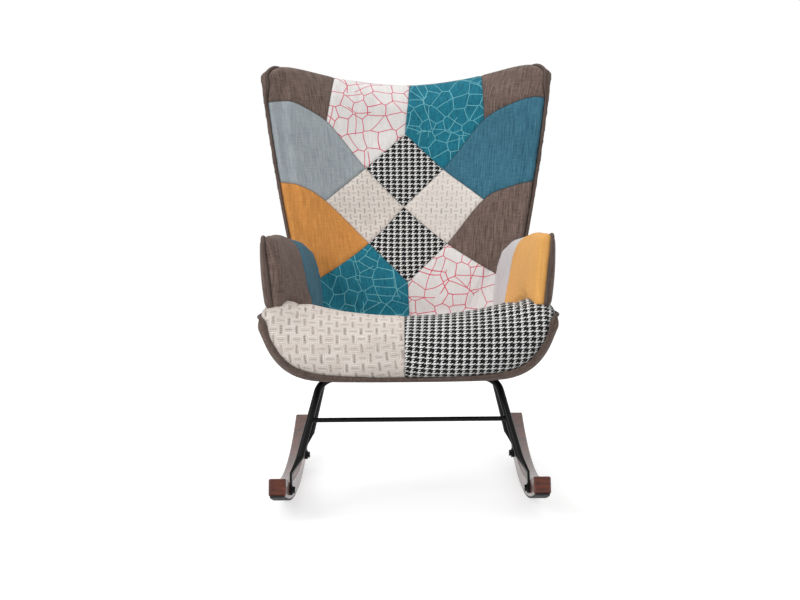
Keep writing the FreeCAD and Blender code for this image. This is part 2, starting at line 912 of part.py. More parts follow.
def bolt(kind, start, axis):
    # Hexagon head behind the washer, shank in front of it.
    head = hexagon(kind["head"], kind["head_height"], start - axis * kind["head_height"], axis)
    shank = cylinder(kind["shank"], start, start + axis * (kind["length"] + washer_thickness))
    return head.fuse(shank).removeSplitter()


def washer(kind, start, axis):
    disc = cylinder(kind["head"] + washer_margin, start, start + axis * washer_thickness)
    hole = kind["shank"] + hole_clearance
    return disc.cut(cylinder(hole, start - axis, start + axis * (washer_thickness + 1)))


def seat_fasteners():
    up = Vector(0, 0, 1)
    board_top = board_top_z()
    bolts, washers, nuts = [], [], []
    for spot in seat_bolt_spots():
        start = spot - up * washer_thickness
        bolts.append(bolt(seat_bolt, start, up))
        washers.append(washer(seat_bolt, start, up))
        flange_base = Vector(spot.x, spot.y, board_top)
        flange = cylinder(tee_flange_radius, flange_base, flange_base + up * tee_flange_thickness)
        radius = seat_bolt["shank"] + thread_clearance
        barrel = cylinder(radius + tee_wall, flange_base - up * tee_length, flange_base + up)
        bore = cylinder(radius, flange_base - up * (tee_length + 1), flange_base + up * tee_length)
        nuts.append(flange.fuse(barrel).cut(bore).removeSplitter())
    return bolts, washers, nuts


def rocker_fasteners():
    bolts, washers, inserts = [], [], []
    for side in sides.values():
        axis = Vector(side, 0, 0)
        for y in (front_foot_y, rear_foot_y):
            spot = bolt_spot(y)
            face = Vector(side * spot.x, spot.y, spot.z)
            start = face - axis * (tab_thickness + washer_thickness)
            bolts.append(bolt(rocker_bolt, start, axis))
            washers.append(washer(rocker_bolt, start, axis))
            bore = rocker_bolt["shank"] + thread_clearance
            sleeve = cylinder(bore + insert_wall, face, face + axis * insert_length)
            inserts.append(sleeve.cut(cylinder(bore, face - axis, face + axis * (insert_length + 1))))
    return bolts, washers, inserts


def save(name, shape):
    if isinstance(shape, list):
        shape = Part.makeCompound(shape)
    solids = shape.Solids
    if not solids or not all(solid.isValid() for solid in solids):
        raise ValueError("bad solid in " + name)
    if len(solids) == 1:
        shape = solids[0]
    else:
        shape = Part.makeCompound(solids)
    shape.exportStep(os.path.join("parts", name + ".step"))
    print("%-24s %2d solids %10.1f cm3" % (name, len(solids), shape.Volume / 1000))


def legs_and_rockers():
    save("front_leg_hoop", hoop(front_foot_y, front_top_y))
    save("rear_leg_hoop", hoop(rear_foot_y, rear_top_y))
    save("front_stretcher", stretcher())
    holes = seat_bolt_holes()
    for name, side in sides.items():
        save("mounting_rail_" + name, mirrored(mounting_rail(), side).cut(holes))
        save("rocker_" + name, mirrored(rocker(), side))
        save("rocker_strip_" + name, mirrored(rocker_strip(), side))
    bolts, washers, inserts = rocker_fasteners()
    save("rocker_bolts", bolts)
    save("rocker_bolt_washers", washers)
    save("rocker_threaded_inserts", inserts)


def drilled(plate, spots):
    for point, axis in spots:
        plate = plate.cut(screw_hole(point, axis))
    return plate


def brackets():
    # The four arm brackets and two back brackets, their screws, and the room they all fill.
    arm_brackets, back_brackets, screws, room = [], [], [], []
    for side in sides.values():
        for along in arm_bracket_at:
            plate = arm_bracket(along)
            spots = arm_bracket_screws(along)
            room.append(mirrored(plate, side))
            screws += [mirrored(screw_at(point, axis), side) for point, axis in spots]
            arm_brackets.append(mirrored(drilled(plate, spots), side))
        plate = back_bracket(side)
        spots = back_bracket_screws(side)
        room.append(plate)
        screws += [screw_at(point, axis) for point, axis in spots]
        back_brackets.append(drilled(plate, spots))
    return arm_brackets, back_brackets, screws, room + screws


def without(shape, tools):
    # Cuts only the tools that reach the shape.
    near = [tool for tool in tools if tool.BoundBox.intersect(shape.BoundBox)]
    for tool in near:
        shape = shape.cut(tool)
    return shape


def seat_board():
    top = board_top_z()
    base = top - board_thickness
    return block(-board_half_width, board_half_width, board_front_y, board_rear_y, base, top)


def seat_parts(metal, plugs):
    outer = seat_body(0)
    inner = seat_body(-cover_thickness)
    holes = seat_bolt_holes()
    board = seat_board()
    skin = outer.cut(inner)
    cutter = seat_seam_cutter()
    back = back_body(pad_clearance)
    tools = [back] + metal
    save("seat_top_cover", without(skin.common(cutter), tools))
    save("seat_border_cover", without(skin.cut(cutter), tools).cut(holes))
    save("seat_foam", without(inner.cut(board), tools + plugs).cut(holes))
    save("seat_board", without(board, tools + plugs).cut(holes))
    cord = piping(seat_seam_path(), Vector(1, 0, 0))
    save("seat_piping", without(cord, [seat_body(pad_clearance), back]))
    wide = board_half_width + dust_cover_margin
    front = board_front_y - dust_cover_margin
    rear = board_rear_y + dust_cover_margin
    sheet = block(-wide, wide, front, rear, deck_z - dust_cover_thickness, deck_z)
    save("seat_dust_cover", sheet.cut(holes))


def back_parts(metal):
    outer = back_body(0)
    inner = back_body(-cover_thickness)
    board = back_board()
    skin = outer.cut(inner)
    cutter = back_seam_cutter()
    save("back_front_cover", without(skin.common(cutter), metal))
    save("back_rear_cover", without(skin.cut(cutter), metal))
    save("back_foam", without(inner.cut(board), metal))
    save("back_board", without(board, metal))
    cord = piping(back_seam_path(), Vector(1, 0, 0))
    save("back_piping", without(cord, [back_body(pad_clearance)]))


def arm_parts(metal):
    outer = arm_body(0)
    inner = arm_body(-cover_thickness)
    board = arm_board()
    skin = outer.cut(inner)
    cutter = arm_seam_cutter()
    pieces = {"arm_inner_cover": skin.common(cutter), "arm_outer_cover": skin.cut(cutter)}
    pieces["arm_foam"] = inner.cut(board)
    pieces["arm_board"] = board
    tools = [seat_body(pad_clearance), back_and_behind()]
    cord = piping(arm_seam_path(), Vector(1, 0, 0)).cut(arm_body(pad_clearance))
    pieces["arm_piping"] = cord
    for piece, shape in pieces.items():
        cleared = without(shape, tools)
        for name, side in sides.items():
            save(piece + "_" + name, without(mirrored(cleared, side), metal))


def upholstery():
    arm_brackets, back_brackets, screws, metal = brackets()
    bolts, washers, nuts = seat_fasteners()
    save("arm_brackets", arm_brackets)
    save("back_brackets", back_brackets)
    save("bracket_screws", screws)
    save("seat_bolts", bolts)
    save("seat_bolt_washers", washers)
    save("seat_tee_nuts", nuts)
    seat_parts(metal, nuts)
    back_parts(metal)
    arm_parts(metal)


os.makedirs("parts", exist_ok=True)
legs_and_rockers()
upholstery()
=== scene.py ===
import math
import bmesh
import bpy
import numpy as np
from mathutils import Matrix, Vector, noise
from mathutils.bvhtree import BVHTree
from mathutils.kdtree import KDTree


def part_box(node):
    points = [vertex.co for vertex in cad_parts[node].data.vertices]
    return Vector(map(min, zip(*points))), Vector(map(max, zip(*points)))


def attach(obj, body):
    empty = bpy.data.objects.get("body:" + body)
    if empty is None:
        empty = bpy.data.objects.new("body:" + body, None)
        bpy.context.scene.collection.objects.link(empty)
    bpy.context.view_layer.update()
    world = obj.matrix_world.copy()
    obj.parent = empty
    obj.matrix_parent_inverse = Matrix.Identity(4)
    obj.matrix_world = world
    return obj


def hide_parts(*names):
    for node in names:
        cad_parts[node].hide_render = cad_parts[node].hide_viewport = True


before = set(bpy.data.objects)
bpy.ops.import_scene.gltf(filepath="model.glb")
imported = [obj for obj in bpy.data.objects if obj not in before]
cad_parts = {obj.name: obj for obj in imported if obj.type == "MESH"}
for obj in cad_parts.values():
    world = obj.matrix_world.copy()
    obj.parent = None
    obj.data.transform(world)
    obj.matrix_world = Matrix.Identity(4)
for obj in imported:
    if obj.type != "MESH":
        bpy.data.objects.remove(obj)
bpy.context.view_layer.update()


# Small helpers

def colour(red, green, blue):  # screen values from 0 to 255, as the renderer wants them
    return tuple(((v / 255 + 0.055) / 1.055) ** 2.4 if v > 10 else v / 255 / 12.92
                 for v in (red, green, blue)) + (1.0,)


def newObject(name, mesh):
    piece = bpy.data.objects.new(name, mesh)
    bpy.context.scene.collection.objects.link(piece)
    return piece


def evaluatedMesh(piece):
    graph = bpy.context.evaluated_depsgraph_get()
    return bpy.data.meshes.new_from_object(piece.evaluated_get(graph))


def opened(mesh):
    bm = bmesh.new()
    bm.from_mesh(mesh)
    return bm


def meshFrom(bm, name):
    mesh = bpy.data.meshes.new(name)
    bm.to_mesh(mesh)
    bm.free()
    return mesh


def nodeCopy(names):
    bm = bmesh.new()
    for name in names:
        bm.from_mesh(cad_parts[name].data)
    return bm


def nodeTree(names):
    bm = nodeCopy(names)
    tree = BVHTree.FromBMesh(bm)
    bm.free()
    return tree


def easing(value, start, end):  # 0 before the start, 1 after the end, smooth between
    share = min(max((value - start) / (end - start), 0.0), 1.0)
    return share * share * (3 - 2 * share)


def through(points, steps=8):  # a smooth line through a few chosen points
    ends = [2 * points[0] - points[1]] + list(points) + [2 * points[-1] - points[-2]]
    line = []
    for a, b, c, d in zip(ends, ends[1:], ends[2:], ends[3:]):
        for step in range(steps):
            t = step / steps
            line.append(0.5 * (2 * b + (c - a) * t + (2 * a - 5 * b + 4 * c - d) * t ** 2
                               + (3 * b - a - 3 * c + d) * t ** 3))
    return np.array(line + [points[-1]])


# Node trees

def setInputs(node, inputs):  # a socket is linked, and anything else is the input's own value
    for key, value in inputs.items():
        if isinstance(value, bpy.types.NodeSocket):
            node.id_data.links.new(value, node.inputs[key])
        else:
            node.inputs[key].default_value = value


def addNode(tree, kind, inputs=None, **settings):
    node = tree.nodes.new(kind)
    for key, value in settings.items():
        setattr(node, key, value)
    setInputs(node, inputs or {})
    return node


def sums(tree, operation, first, second=0.0, third=0.0):
    node = addNode(tree, "ShaderNodeMath", {0: first, 1: second, 2: third}, operation=operation)
    return node.outputs[0]


def plus(tree, first, second):
    return sums(tree, "ADD", first, second)


def times(tree, first, second):
    return sums(tree, "MULTIPLY", first, second)


def ranged(tree, value, low, high, start=0.0, end=1.0, smooth=False):  # low to high becomes start to end
    node = addNode(tree, "ShaderNodeMapRange", {"Value": value, "From Min": low, "From Max": high,
                                                "To Min": start, "To Max": end},
                   interpolation_type="SMOOTHSTEP" if smooth else "LINEAR")
    return node.outputs[0]


def noiseAt(tree, spot, scale, detail):
    return addNode(tree, "ShaderNodeTexNoise", {"Vector": spot, "Scale": scale, "Detail": detail}).outputs


def movedBy(tree, spot, shift):
    return addNode(tree, "ShaderNodeVectorMath", {0: spot, 1: shift}, operation="ADD").outputs[0]


def astray(tree, spot, scale, detail, reach):  # the spot moved a little by a noise
    shift = addNode(tree, "ShaderNodeVectorMath", {0: noiseAt(tree, spot, scale, detail)[1], "Scale": reach},
                    operation="SCALE")
    return movedBy(tree, spot, shift.outputs[0])


def bumped(tree, height, distance, strength):
    values = {"Height": height, "Distance": distance, "Strength": strength}
    return addNode(tree, "ShaderNodeBump", values).outputs[0]


def objectSpot(tree):
    return addNode(tree, "ShaderNodeTexCoord").outputs["Object"]


def seenDirectly(tree):  # 1 for what the camera sees, also in a mirror or through glass
    rays = addNode(tree, "ShaderNodeLightPath").outputs
    seen = sums(tree, "MAXIMUM", rays["Is Camera Ray"], rays["Is Glossy Ray"])
    return sums(tree, "MAXIMUM", seen, rays["Is Transmission Ray"])


def blendColour(tree, share, first, second, mode="MIX"):
    node = addNode(tree, "ShaderNodeMix", {0: share, 6: first, 7: second},
                   data_type="RGBA", blend_type=mode)
    return node.outputs[2]


def newGroup(name, kind, inputs, outputs):
    tree = bpy.data.node_groups.new(name, kind)
    for label, (socket, value) in inputs.items():
        made = tree.interface.new_socket(name=label, in_out="INPUT", socket_type=socket)
        if value is not None:
            made.default_value = value
    for label, socket in outputs.items():
        tree.interface.new_socket(name=label, in_out="OUTPUT", socket_type=socket)
    return tree, tree.nodes.new("NodeGroupInput").outputs, tree.nodes.new("NodeGroupOutput").inputs


def useGroup(tree, group, inputs):
    return addNode(tree, "ShaderNodeGroup", inputs, node_tree=group).outputs


floatIn = "NodeSocketFloat"
vectorIn = "NodeSocketVector"


def linenWeave():  # uneven threads both ways: Tone about 0.5, Height for bump
    tree, given, out = newGroup(
        "linenWeave", "ShaderNodeTree",
        {"Vector": (vectorIn, None), "Thread": (floatIn, 0.0011), "Slub": (floatIn, 0.02),
         "Streak": (floatIn, 0.0032)},
        {"Tone": floatIn, "Height": floatIn})
    parts = addNode(tree, "ShaderNodeSeparateXYZ", {0: given["Vector"]}).outputs
    tones = []
    for across, along, width, length in ((0, 1, "Thread", 1.0), (1, 0, "Thread", 1.0),
                                         (0, 1, "Streak", 2.5), (1, 0, "Streak", 1.6)):
        fine = sums(tree, "DIVIDE", parts[across], given[width])
        long = sums(tree, "DIVIDE", parts[along], times(tree, given["Slub"], length))
        spot = addNode(tree, "ShaderNodeCombineXYZ", {0: fine, 1: long, 2: parts[2]}).outputs[0]
        tones.append(noiseAt(tree, spot, 1.0, 1.5)[0])
    # The broad streaks run mostly along the grain.
    broad = sums(tree, "MULTIPLY_ADD", tones[2], 0.72, times(tree, tones[3], 0.28))
    tones = tones[:2]
    fine = times(tree, plus(tree, *tones), 0.5)
    tree.links.new(sums(tree, "MULTIPLY_ADD", fine, 0.45, times(tree, broad, 0.55)), out["Tone"])
    waves = []
    for axis in (0, 1):
        turns = times(tree, sums(tree, "DIVIDE", parts[axis], given["Thread"]), math.pi)
        waves.append(sums(tree, "SINE", turns))
    weave = times(tree, *waves)
    height = sums(tree, "MULTIPLY_ADD", weave, 0.3, plus(tree, *tones))
    tree.links.new(height, out["Height"])
    return tree


def houndstoothWeave():  # about five dark and three light threads both ways in a twill
    threads, darkThreads, twillThreads = 8.0, 5.35, 4.0
    tree, given, out = newGroup(
        "houndstoothWeave", "ShaderNodeTree",
        {"Vector": (vectorIn, None), "Width": (floatIn, 0.015), "Height": (floatIn, 0.0112)},
        {"Dark": floatIn, "Relief": floatIn})
    parts = addNode(tree, "ShaderNodeSeparateXYZ", {0: given["Vector"]}).outputs
    across = times(tree, sums(tree, "DIVIDE", parts[0], given["Width"]), threads)
    upward = times(tree, sums(tree, "DIVIDE", parts[1], given["Height"]), threads)
    warp = sums(tree, "FLOOR", across)
    weft = sums(tree, "FLOOR", upward)
    warpDark = sums(tree, "LESS_THAN", sums(tree, "FLOORED_MODULO", across, threads), darkThreads)
    weftDark = sums(tree, "LESS_THAN", sums(tree, "FLOORED_MODULO", upward, threads), darkThreads)
    twill = sums(tree, "FLOORED_MODULO", sums(tree, "SUBTRACT", warp, weft), twillThreads)
    onTop = sums(tree, "LESS_THAN", twill, twillThreads / 2)
    under = sums(tree, "SUBTRACT", 1.0, onTop)
    fromWarp = times(tree, onTop, warpDark)
    fromWeft = times(tree, under, weftDark)
    tree.links.new(plus(tree, fromWarp, fromWeft), out["Dark"])
    ridges = []
    for value, share in ((across, onTop), (upward, under)):
        ridge = sums(tree, "ABSOLUTE", sums(tree, "SINE", times(tree, value, math.pi)))
        ridges.append(times(tree, ridge, share))
    tree.links.new(plus(tree, *ridges), out["Relief"])
    return tree


def basketWeave():  # cells of upright and level threads in turn, each with one soft dark thread
    tree, given, out = newGroup(
        "basketWeave", "ShaderNodeTree",
        {"Vector": (vectorIn, None), "Width": (floatIn, 0.0167), "Height": (floatIn, 0.0205),
         "Dash": (floatIn, 0.005), "Threads": (floatIn, 5.0)},
        {"Dark": floatIn, "Tone": floatIn, "Relief": floatIn})

    def fromMiddle(value):
        return sums(tree, "ABSOLUTE", sums(tree, "SUBTRACT", sums(tree, "FRACT", value), 0.5))

    def threadWaves(value):
        turns = times(tree, times(tree, value, given["Threads"]), math.pi)
        return sums(tree, "ABSOLUTE", sums(tree, "COSINE", turns))

    spot = astray(tree, given["Vector"], 70.0, 2.0, 0.004)
    parts = addNode(tree, "ShaderNodeSeparateXYZ", {0: spot}).outputs
    column = sums(tree, "DIVIDE", parts[0], given["Width"])
    row = sums(tree, "DIVIDE", parts[1], given["Height"])
    cell = plus(tree, sums(tree, "FLOOR", column), sums(tree, "FLOOR", row))
    level = sums(tree, "FLOORED_MODULO", cell, 2.0)
    upright = sums(tree, "SUBTRACT", 1.0, level)
    darks, ridges = [], []
    for value, other, size, share, weight in ((column, row, "Width", upright, 0.9),
                                              (row, column, "Height", level, 0.55)):
        beside = sums(tree, "DIVIDE", times(tree, fromMiddle(value), given[size]), given["Dash"])
        line = ranged(tree, beside, 0.1, 0.85, weight, 0.0, smooth=True)
        inside = ranged(tree, fromMiddle(other), 0.4, 0.5, 1.0, 0.45)
        beads = sums(tree, "MULTIPLY_ADD", threadWaves(other), 0.6, 0.5)
        darks.append(times(tree, times(tree, times(tree, line, inside), beads), share))
        ridges.append(times(tree, threadWaves(value), share))
    # Painted highlights: a fine noise lightens specks at the thread crossings; mixed with a broad noise it
    # also fades the dark threads here and there.
    specksAndHighlights = noiseAt(tree, given["Vector"], 330.0, 1.0)[0]
    broad = noiseAt(tree, given["Vector"], 28.0, 2.0)[0]
    ridged = plus(tree, *ridges)
    mixed = sums(tree, "MULTIPLY_ADD", specksAndHighlights, 0.55, times(tree, broad, 0.45))
    tone = sums(tree, "MULTIPLY_ADD", ridged, 0.5, mixed)
    faded = sums(tree, "MULTIPLY_ADD", mixed, 3.4, -0.9)
    dark = times(tree, plus(tree, *darks), faded)
    tree.links.new(addNode(tree, "ShaderNodeClamp", {0: dark}).outputs[0], out["Dark"])
    tree.links.new(tone, out["Tone"])
    tree.links.new(ridged, out["Relief"])
    return tree


def crackLines():  # a printed net of thin lines round cells of mixed sizes
    tree, given, out = newGroup(
        "crackLines", "ShaderNodeTree",
        {"Vector": (vectorIn, None), "Cell": (floatIn, 0.034), "Line": (floatIn, 0.0011)},
        {"Line": floatIn})
    spot = astray(tree, given["Vector"], 14.0, 0.0, 0.02)
    lines = []
    for size, move in ((1.0, 0.0), (2.3, 0.37)):
        cell = times(tree, given["Cell"], size)
        moved = movedBy(tree, spot, (move, move, 0))
        perMetre = sums(tree, "DIVIDE", 1.0, cell)
        net = addNode(tree, "ShaderNodeTexVoronoi", {"Vector": moved, "Scale": perMetre},
                      voronoi_dimensions="2D", feature="DISTANCE_TO_EDGE")
        width = times(tree, net.outputs["Distance"], cell)
        lines.append(sums(tree, "LESS_THAN", width, times(tree, given["Line"], 0.5)))
    # The wider net shows only in places.
    places = noiseAt(tree, given["Vector"], 9.0, 0.0)[0]
    lines[1] = times(tree, lines[1], sums(tree, "GREATER_THAN", places, 0.47))
    tree.links.new(sums(tree, "MAXIMUM", *lines), out["Line"])
    return tree


def seamShade():  # painted shade: a dark line in a seam's groove and beside a cord, and a softer darkening in the dip beside it
    tree, given, out = newGroup(
        "seamShade", "ShaderNodeTree",
        {"Seam": (floatIn, 0.0), "Line": (floatIn, 0.0007), "Dip": (floatIn, 0.005)},
        {"Line": floatIn, "Dip": floatIn})
    faded = times(tree, given["Line"], 2.0)
    tree.links.new(ranged(tree, given["Seam"], given["Line"], faded, 1.0, 0.0), out["Line"])
    tree.links.new(ranged(tree, given["Seam"], 0.0, given["Dip"], 1.0, 0.0, smooth=True), out["Dip"])
    return tree


groups = {"linen": linenWeave(), "houndstooth": houndstoothWeave(), "basket": basketWeave(),
          "crack": crackLines(), "seam": seamShade()}
print("shader groups built")


# Materials

def newMaterial(name):
    material = bpy.data.materials.new(name)
    material.use_nodes = True
    tree = material.node_tree
    shader = tree.nodes["Principled BSDF"]
    return material, tree, shader


def clothSpot(tree):
    return addNode(tree, "ShaderNodeUVMap", uv_map="cloth").outputs[0]


def finishCloth(tree, shader, base, relief, depth, seams=0.55):
    # Painted seam shade and slow changes of tone are the same on every cloth; a cord has no seams.
    cloudy = ranged(tree, noiseAt(tree, objectSpot(tree), 9.0, 2.0)[0], 0.3, 0.7, 0.93, 1.05)
    tone = addNode(tree, "ShaderNodeCombineColor", {0: cloudy, 1: cloudy, 2: cloudy}).outputs[0]
    base = blendColour(tree, 1.0, base, tone, "MULTIPLY")
    if seams:
        seam = addNode(tree, "ShaderNodeAttribute", attribute_name="seam").outputs["Fac"]
        shade = useGroup(tree, groups["seam"], {"Seam": seam})
        # Painted shade: a soft darkening in the dip beside each seam, then a near-black line in the seam's
        # groove and beside each cord.
        base = blendColour(tree, times(tree, shade["Dip"], seams * 0.3), base, (0.02, 0.018, 0.017, 1))
        base = blendColour(tree, times(tree, shade["Line"], seams), base, (0.015, 0.013, 0.012, 1))
        relief = sums(tree, "MULTIPLY_ADD", shade["Dip"], -1.2, relief)
    setInputs(shader, {"Base Color": base, "Normal": bumped(tree, relief, depth, 0.7), "Roughness": 0.88,
                       "Sheen Weight": 0.07, "Sheen Roughness": 0.5, "Specular IOR Level": 0.25})


def linenCloth(name, base, dark, contrast=1.0, thread=0.0011, fromUv=True, seams=0.55):
    material, tree, shader = newMaterial(name)
    spot = clothSpot(tree) if fromUv else objectSpot(tree)
    weave = useGroup(tree, groups["linen"], {"Vector": spot, "Thread": thread})
    tone = ranged(tree, weave["Tone"], 0.5 - 0.13 / contrast, 0.5 + 0.13 / contrast)
    base = blendColour(tree, tone, dark, base)
    finishCloth(tree, shader, base, weave["Height"], 0.0004, seams=seams if fromUv else 0)
    return material


def printCloth(name, base, dark, ink, inkShare, cell, line):
    material, tree, shader = newMaterial(name)
    spot = clothSpot(tree)
    weave = useGroup(tree, groups["linen"], {"Vector": spot, "Slub": 0.012})
    base = blendColour(tree, ranged(tree, weave["Tone"], 0.36, 0.64), dark, base)
    lines = useGroup(tree, groups["crack"], {"Vector": spot, "Cell": cell, "Line": line})
    base = blendColour(tree, times(tree, lines["Line"], inkShare), base, ink)
    finishCloth(tree, shader, base, weave["Height"], 0.0003, seams=0.35)
    return material


def houndstoothCloth(name, dark, light):
    material, tree, shader = newMaterial(name)
    spot = clothSpot(tree)
    weave = useGroup(tree, groups["houndstooth"], {"Vector": spot})
    base = blendColour(tree, weave["Dark"], light, dark)
    finishCloth(tree, shader, base, weave["Relief"], 0.0005, seams=0.3)
    return material


def basketCloth(name, light, warm, dark, scale=1.0):
    material, tree, shader = newMaterial(name)
    weave = useGroup(tree, groups["basket"], {"Vector": clothSpot(tree), "Width": 0.0167 * scale,
                                              "Height": 0.0205 * scale, "Dash": 0.005 * scale})
    base = blendColour(tree, ranged(tree, weave["Tone"], 0.55, 1.02), warm, light)
    base = blendColour(tree, weave["Dark"], base, dark)
    finishCloth(tree, shader, base, weave["Relief"], 0.0006, seams=0.3)
    return material


def lacqueredWood():
    material, tree, shader = newMaterial("lacqueredWood")
    stretched = addNode(tree, "ShaderNodeMapping", {"Vector": objectSpot(tree), "Scale": (40.0, 7.0, 190.0)})
    grain = addNode(tree, "ShaderNodeTexNoise", {"Vector": stretched.outputs[0], "Scale": 1.0, "Detail": 4.0,
                                                 "Distortion": 0.6}).outputs[0]
    ramp = addNode(tree, "ShaderNodeValToRGB", {"Fac": grain})
    ends = ((0.32, colour(56, 18, 7)), (0.68, colour(108, 46, 20)))
    for element, (place, tint) in zip(ramp.color_ramp.elements, ends):
        element.position, element.color = place, tint
    setInputs(shader, {"Base Color": ramp.outputs[0], "Normal": bumped(tree, grain, 0.0002, 0.35),
                       "Roughness": 0.35, "Specular IOR Level": 0.25, "Coat Weight": 0.4,
                       "Coat Roughness": 0.1})
    return material


def speckled(name, base, roughness, metallic=0.0, grit=900.0, depth=0.00008, shine=0.4):
    # Powder coat, zinc, rubber and bare board: a fine grit over one colour.
    tint, glossSpread = 0.25, 0.06
    material, tree, shader = newMaterial(name)
    spot = objectSpot(tree)
    fine, broad = noiseAt(tree, spot, grit, 2.0)[0], noiseAt(tree, spot, 18.0, 3.0)[0]
    darker = tuple(v * (1 - tint) for v in base[:3]) + (1.0,)
    gloss = ranged(tree, broad, 0.0, 1.0, roughness - glossSpread, roughness + glossSpread)
    setInputs(shader, {"Base Color": blendColour(tree, broad, darker, base), "Roughness": gloss,
                       "Normal": bumped(tree, fine, depth, 0.5), "Metallic": metallic,
                       "Specular IOR Level": shine})
    return material


fabrics = {
    "brown": linenCloth("brownLinen", colour(134, 115, 106), colour(82, 66, 60), 1.25),
    "weltBrown": linenCloth("weltLinen", colour(112, 95, 87), colour(80, 66, 60), fromUv=False),
    "blueGrey": linenCloth("blueGreyLinen", colour(180, 188, 192), colour(138, 148, 154), 0.9),
    "orange": linenCloth("orangeLinen", colour(234, 166, 88), colour(190, 122, 60), 0.8, seams=0.3),
    "armOrange": linenCloth("paleOrangeLinen", colour(250, 190, 110), colour(228, 164, 88), 0.7, seams=0.3),
    "armGrey": linenCloth("paleGreyLinen", colour(226, 220, 220), colour(200, 196, 200), 0.8),
    "tealPlain": linenCloth("tealLinen", colour(72, 128, 148), colour(40, 88, 110), 1.1),
    "tealPrint": printCloth("tealPrint", colour(34, 134, 156), colour(16, 88, 108), colour(130, 200, 208),
                            0.8, 0.034, 0.0014),
    "redPrint": printCloth("redPrint", colour(240, 237, 235), colour(220, 217, 215), colour(214, 62, 96),
                           0.95, 0.036, 0.0021),
    "houndstooth": houndstoothCloth("houndstooth", colour(14, 14, 16), colour(246, 246, 244)),
    "basket": basketCloth("basketTweed", colour(240, 233, 226), colour(204, 189, 178), colour(146, 131, 122)),
    "basketBack": basketCloth("smallBasketTweed", colour(246, 240, 233), colour(210, 198, 188),
                              colour(156, 142, 134), 0.72),
    "basketPale": basketCloth("paleBasketTweed", colour(244, 239, 233), colour(224, 214, 205),
                              colour(178, 165, 156), 0.72),
}
hardFinishes = {
    "wood": lacqueredWood(),
    "foam": speckled("foam", colour(232, 222, 196), 0.9, grit=500.0, depth=0.0004),
    "blackSteel": speckled("blackPowderCoat", colour(10, 10, 11), 0.34, shine=0.14),
    "blackBolt": speckled("blackBolt", colour(14, 14, 15), 0.3, shine=0.2),
    "zinc": speckled("zincPlate", colour(176, 176, 172), 0.34, metallic=1.0, grit=400.0),
    "rubber": speckled("blackRubber", colour(26, 26, 27), 0.72, depth=0.0002),
    "plywood": speckled("plywood", colour(196, 160, 112), 0.7, grit=160.0),
    "dustCloth": speckled("dustCloth", colour(30, 30, 32), 0.9, grit=700.0, depth=0.0003),
}
print("materials built")


# Soft bodies: the construction's pads joined, remeshed, and swelled as cloth

def largestIsland(bm):
    left = set(bm.verts)
    best = []
    while left:
        stack = [left.pop()]
        island = [stack[0]]
        while stack:
            for edge in stack.pop().link_edges:
                for vert in edge.verts:
                    if vert in left:
                        left.remove(vert)
                        stack.append(vert)
                        island.append(vert)
        if len(island) > len(best):
            best = island
    keep = set(best)
    bmesh.ops.delete(bm, geom=[v for v in bm.verts if v not in keep], context="VERTS")


def smoothed(bm, turns):
    for turn in range(turns):
        bmesh.ops.smooth_vert(bm, verts=bm.verts, factor=0.5, use_axis_x=True, use_axis_y=True,
                              use_axis_z=True)


def remeshed(name, nodes, voxel):
    solids = nodeTree(nodes)
    body = newObject(name, meshFrom(nodeCopy(nodes), name))
    remesh = body.modifiers.new("remesh", "REMESH")
    remesh.mode = "VOXEL"
    remesh.voxel_size = voxel
    mesh = evaluatedMesh(body)
    body.modifiers.clear()
    bm = opened(mesh)
    largestIsland(bm)
    smoothed(bm, 5)
    bm.normal_update()
    above, reach = 0.008, 0.014
    for vert in bm.verts:  # back onto the solids, whose surface has no steps
        hit = solids.ray_cast(vert.co + vert.normal * above, -vert.normal, reach)[0]
        if hit:
            vert.co = hit
    smoothed(bm, 3)
    body.data = meshFrom(bm, name)
    return body


def heldWeights(mesh, field, reach, rests):
    # Held at the seam and on the shell, and where the pad rests on its neighbours; free on the front.
    weights = []
    for vert in mesh.vertices:
        free = min(max((field(vert.co) - 0.003) / reach, 0.0), 1.0)
        near = rests.find_nearest(vert.co)[3]
        free = min(free, min(max((near - 0.004) / 0.02, 0.0), 1.0))
        weights.append(1.0 - free * free * (3 - 2 * free))
    return np.array(weights)


clothSizes = {"steps": 20, "quality": 4, "tension": 12, "shear": 4, "bending": 0.4, "quickShare": 0.6}


def swell(body, held, size):
    # Cloth under pressure, from a slightly smaller shape.
    mesh = body.data
    start = np.array([v.co[:] for v in mesh.vertices])
    normals = np.array([v.normal[:] for v in mesh.vertices])
    start -= normals * (size["inset"] * (1 - held))[:, None]
    mesh.vertices.foreach_set("co", start.ravel())
    mesh.update()
    group = body.vertex_groups.new(name="held")
    for index, weight in enumerate(held):
        if weight > 0.01:
            group.add([index], float(weight), "REPLACE")
    cloth = body.modifiers.new("cloth", "CLOTH")
    settings = cloth.settings
    settings.quality = clothSizes["quality"]
    settings.tension_stiffness = settings.compression_stiffness = clothSizes["tension"]
    settings.shear_stiffness = clothSizes["shear"]
    settings.bending_stiffness = clothSizes["bending"]
    settings.use_pressure = True
    settings.uniform_pressure_force = size["pressure"]
    settings.vertex_group_mass = "held"
    settings.effector_weights.gravity = 0
    cloth.point_cache.frame_start = 1
    cloth.point_cache.frame_end = clothSizes["steps"]
    for step in range(1, clothSizes["steps"] + 1):
        bpy.context.scene.frame_set(step)
    moved = np.array([v.co[:] for v in evaluatedMesh(body).vertices]) - start
    body.modifiers.clear()
    body.vertex_groups.clear()
    bpy.context.scene.frame_set(1)
    length = np.linalg.norm(moved, axis=1, keepdims=True)
    most, mean = length.max() * 1000, length.mean() * 1000
    print(f"  {body.name}: cloth moved {most:.1f} mm at most, {mean:.1f} on average")
    moved *= np.minimum(1.0, size["cap"] / np.maximum(length, 1e-9))
    mesh.vertices.foreach_set("co", (start + moved).ravel())
    mesh.update()


# Cutting a mesh along lines, so that every seam lies on its edges

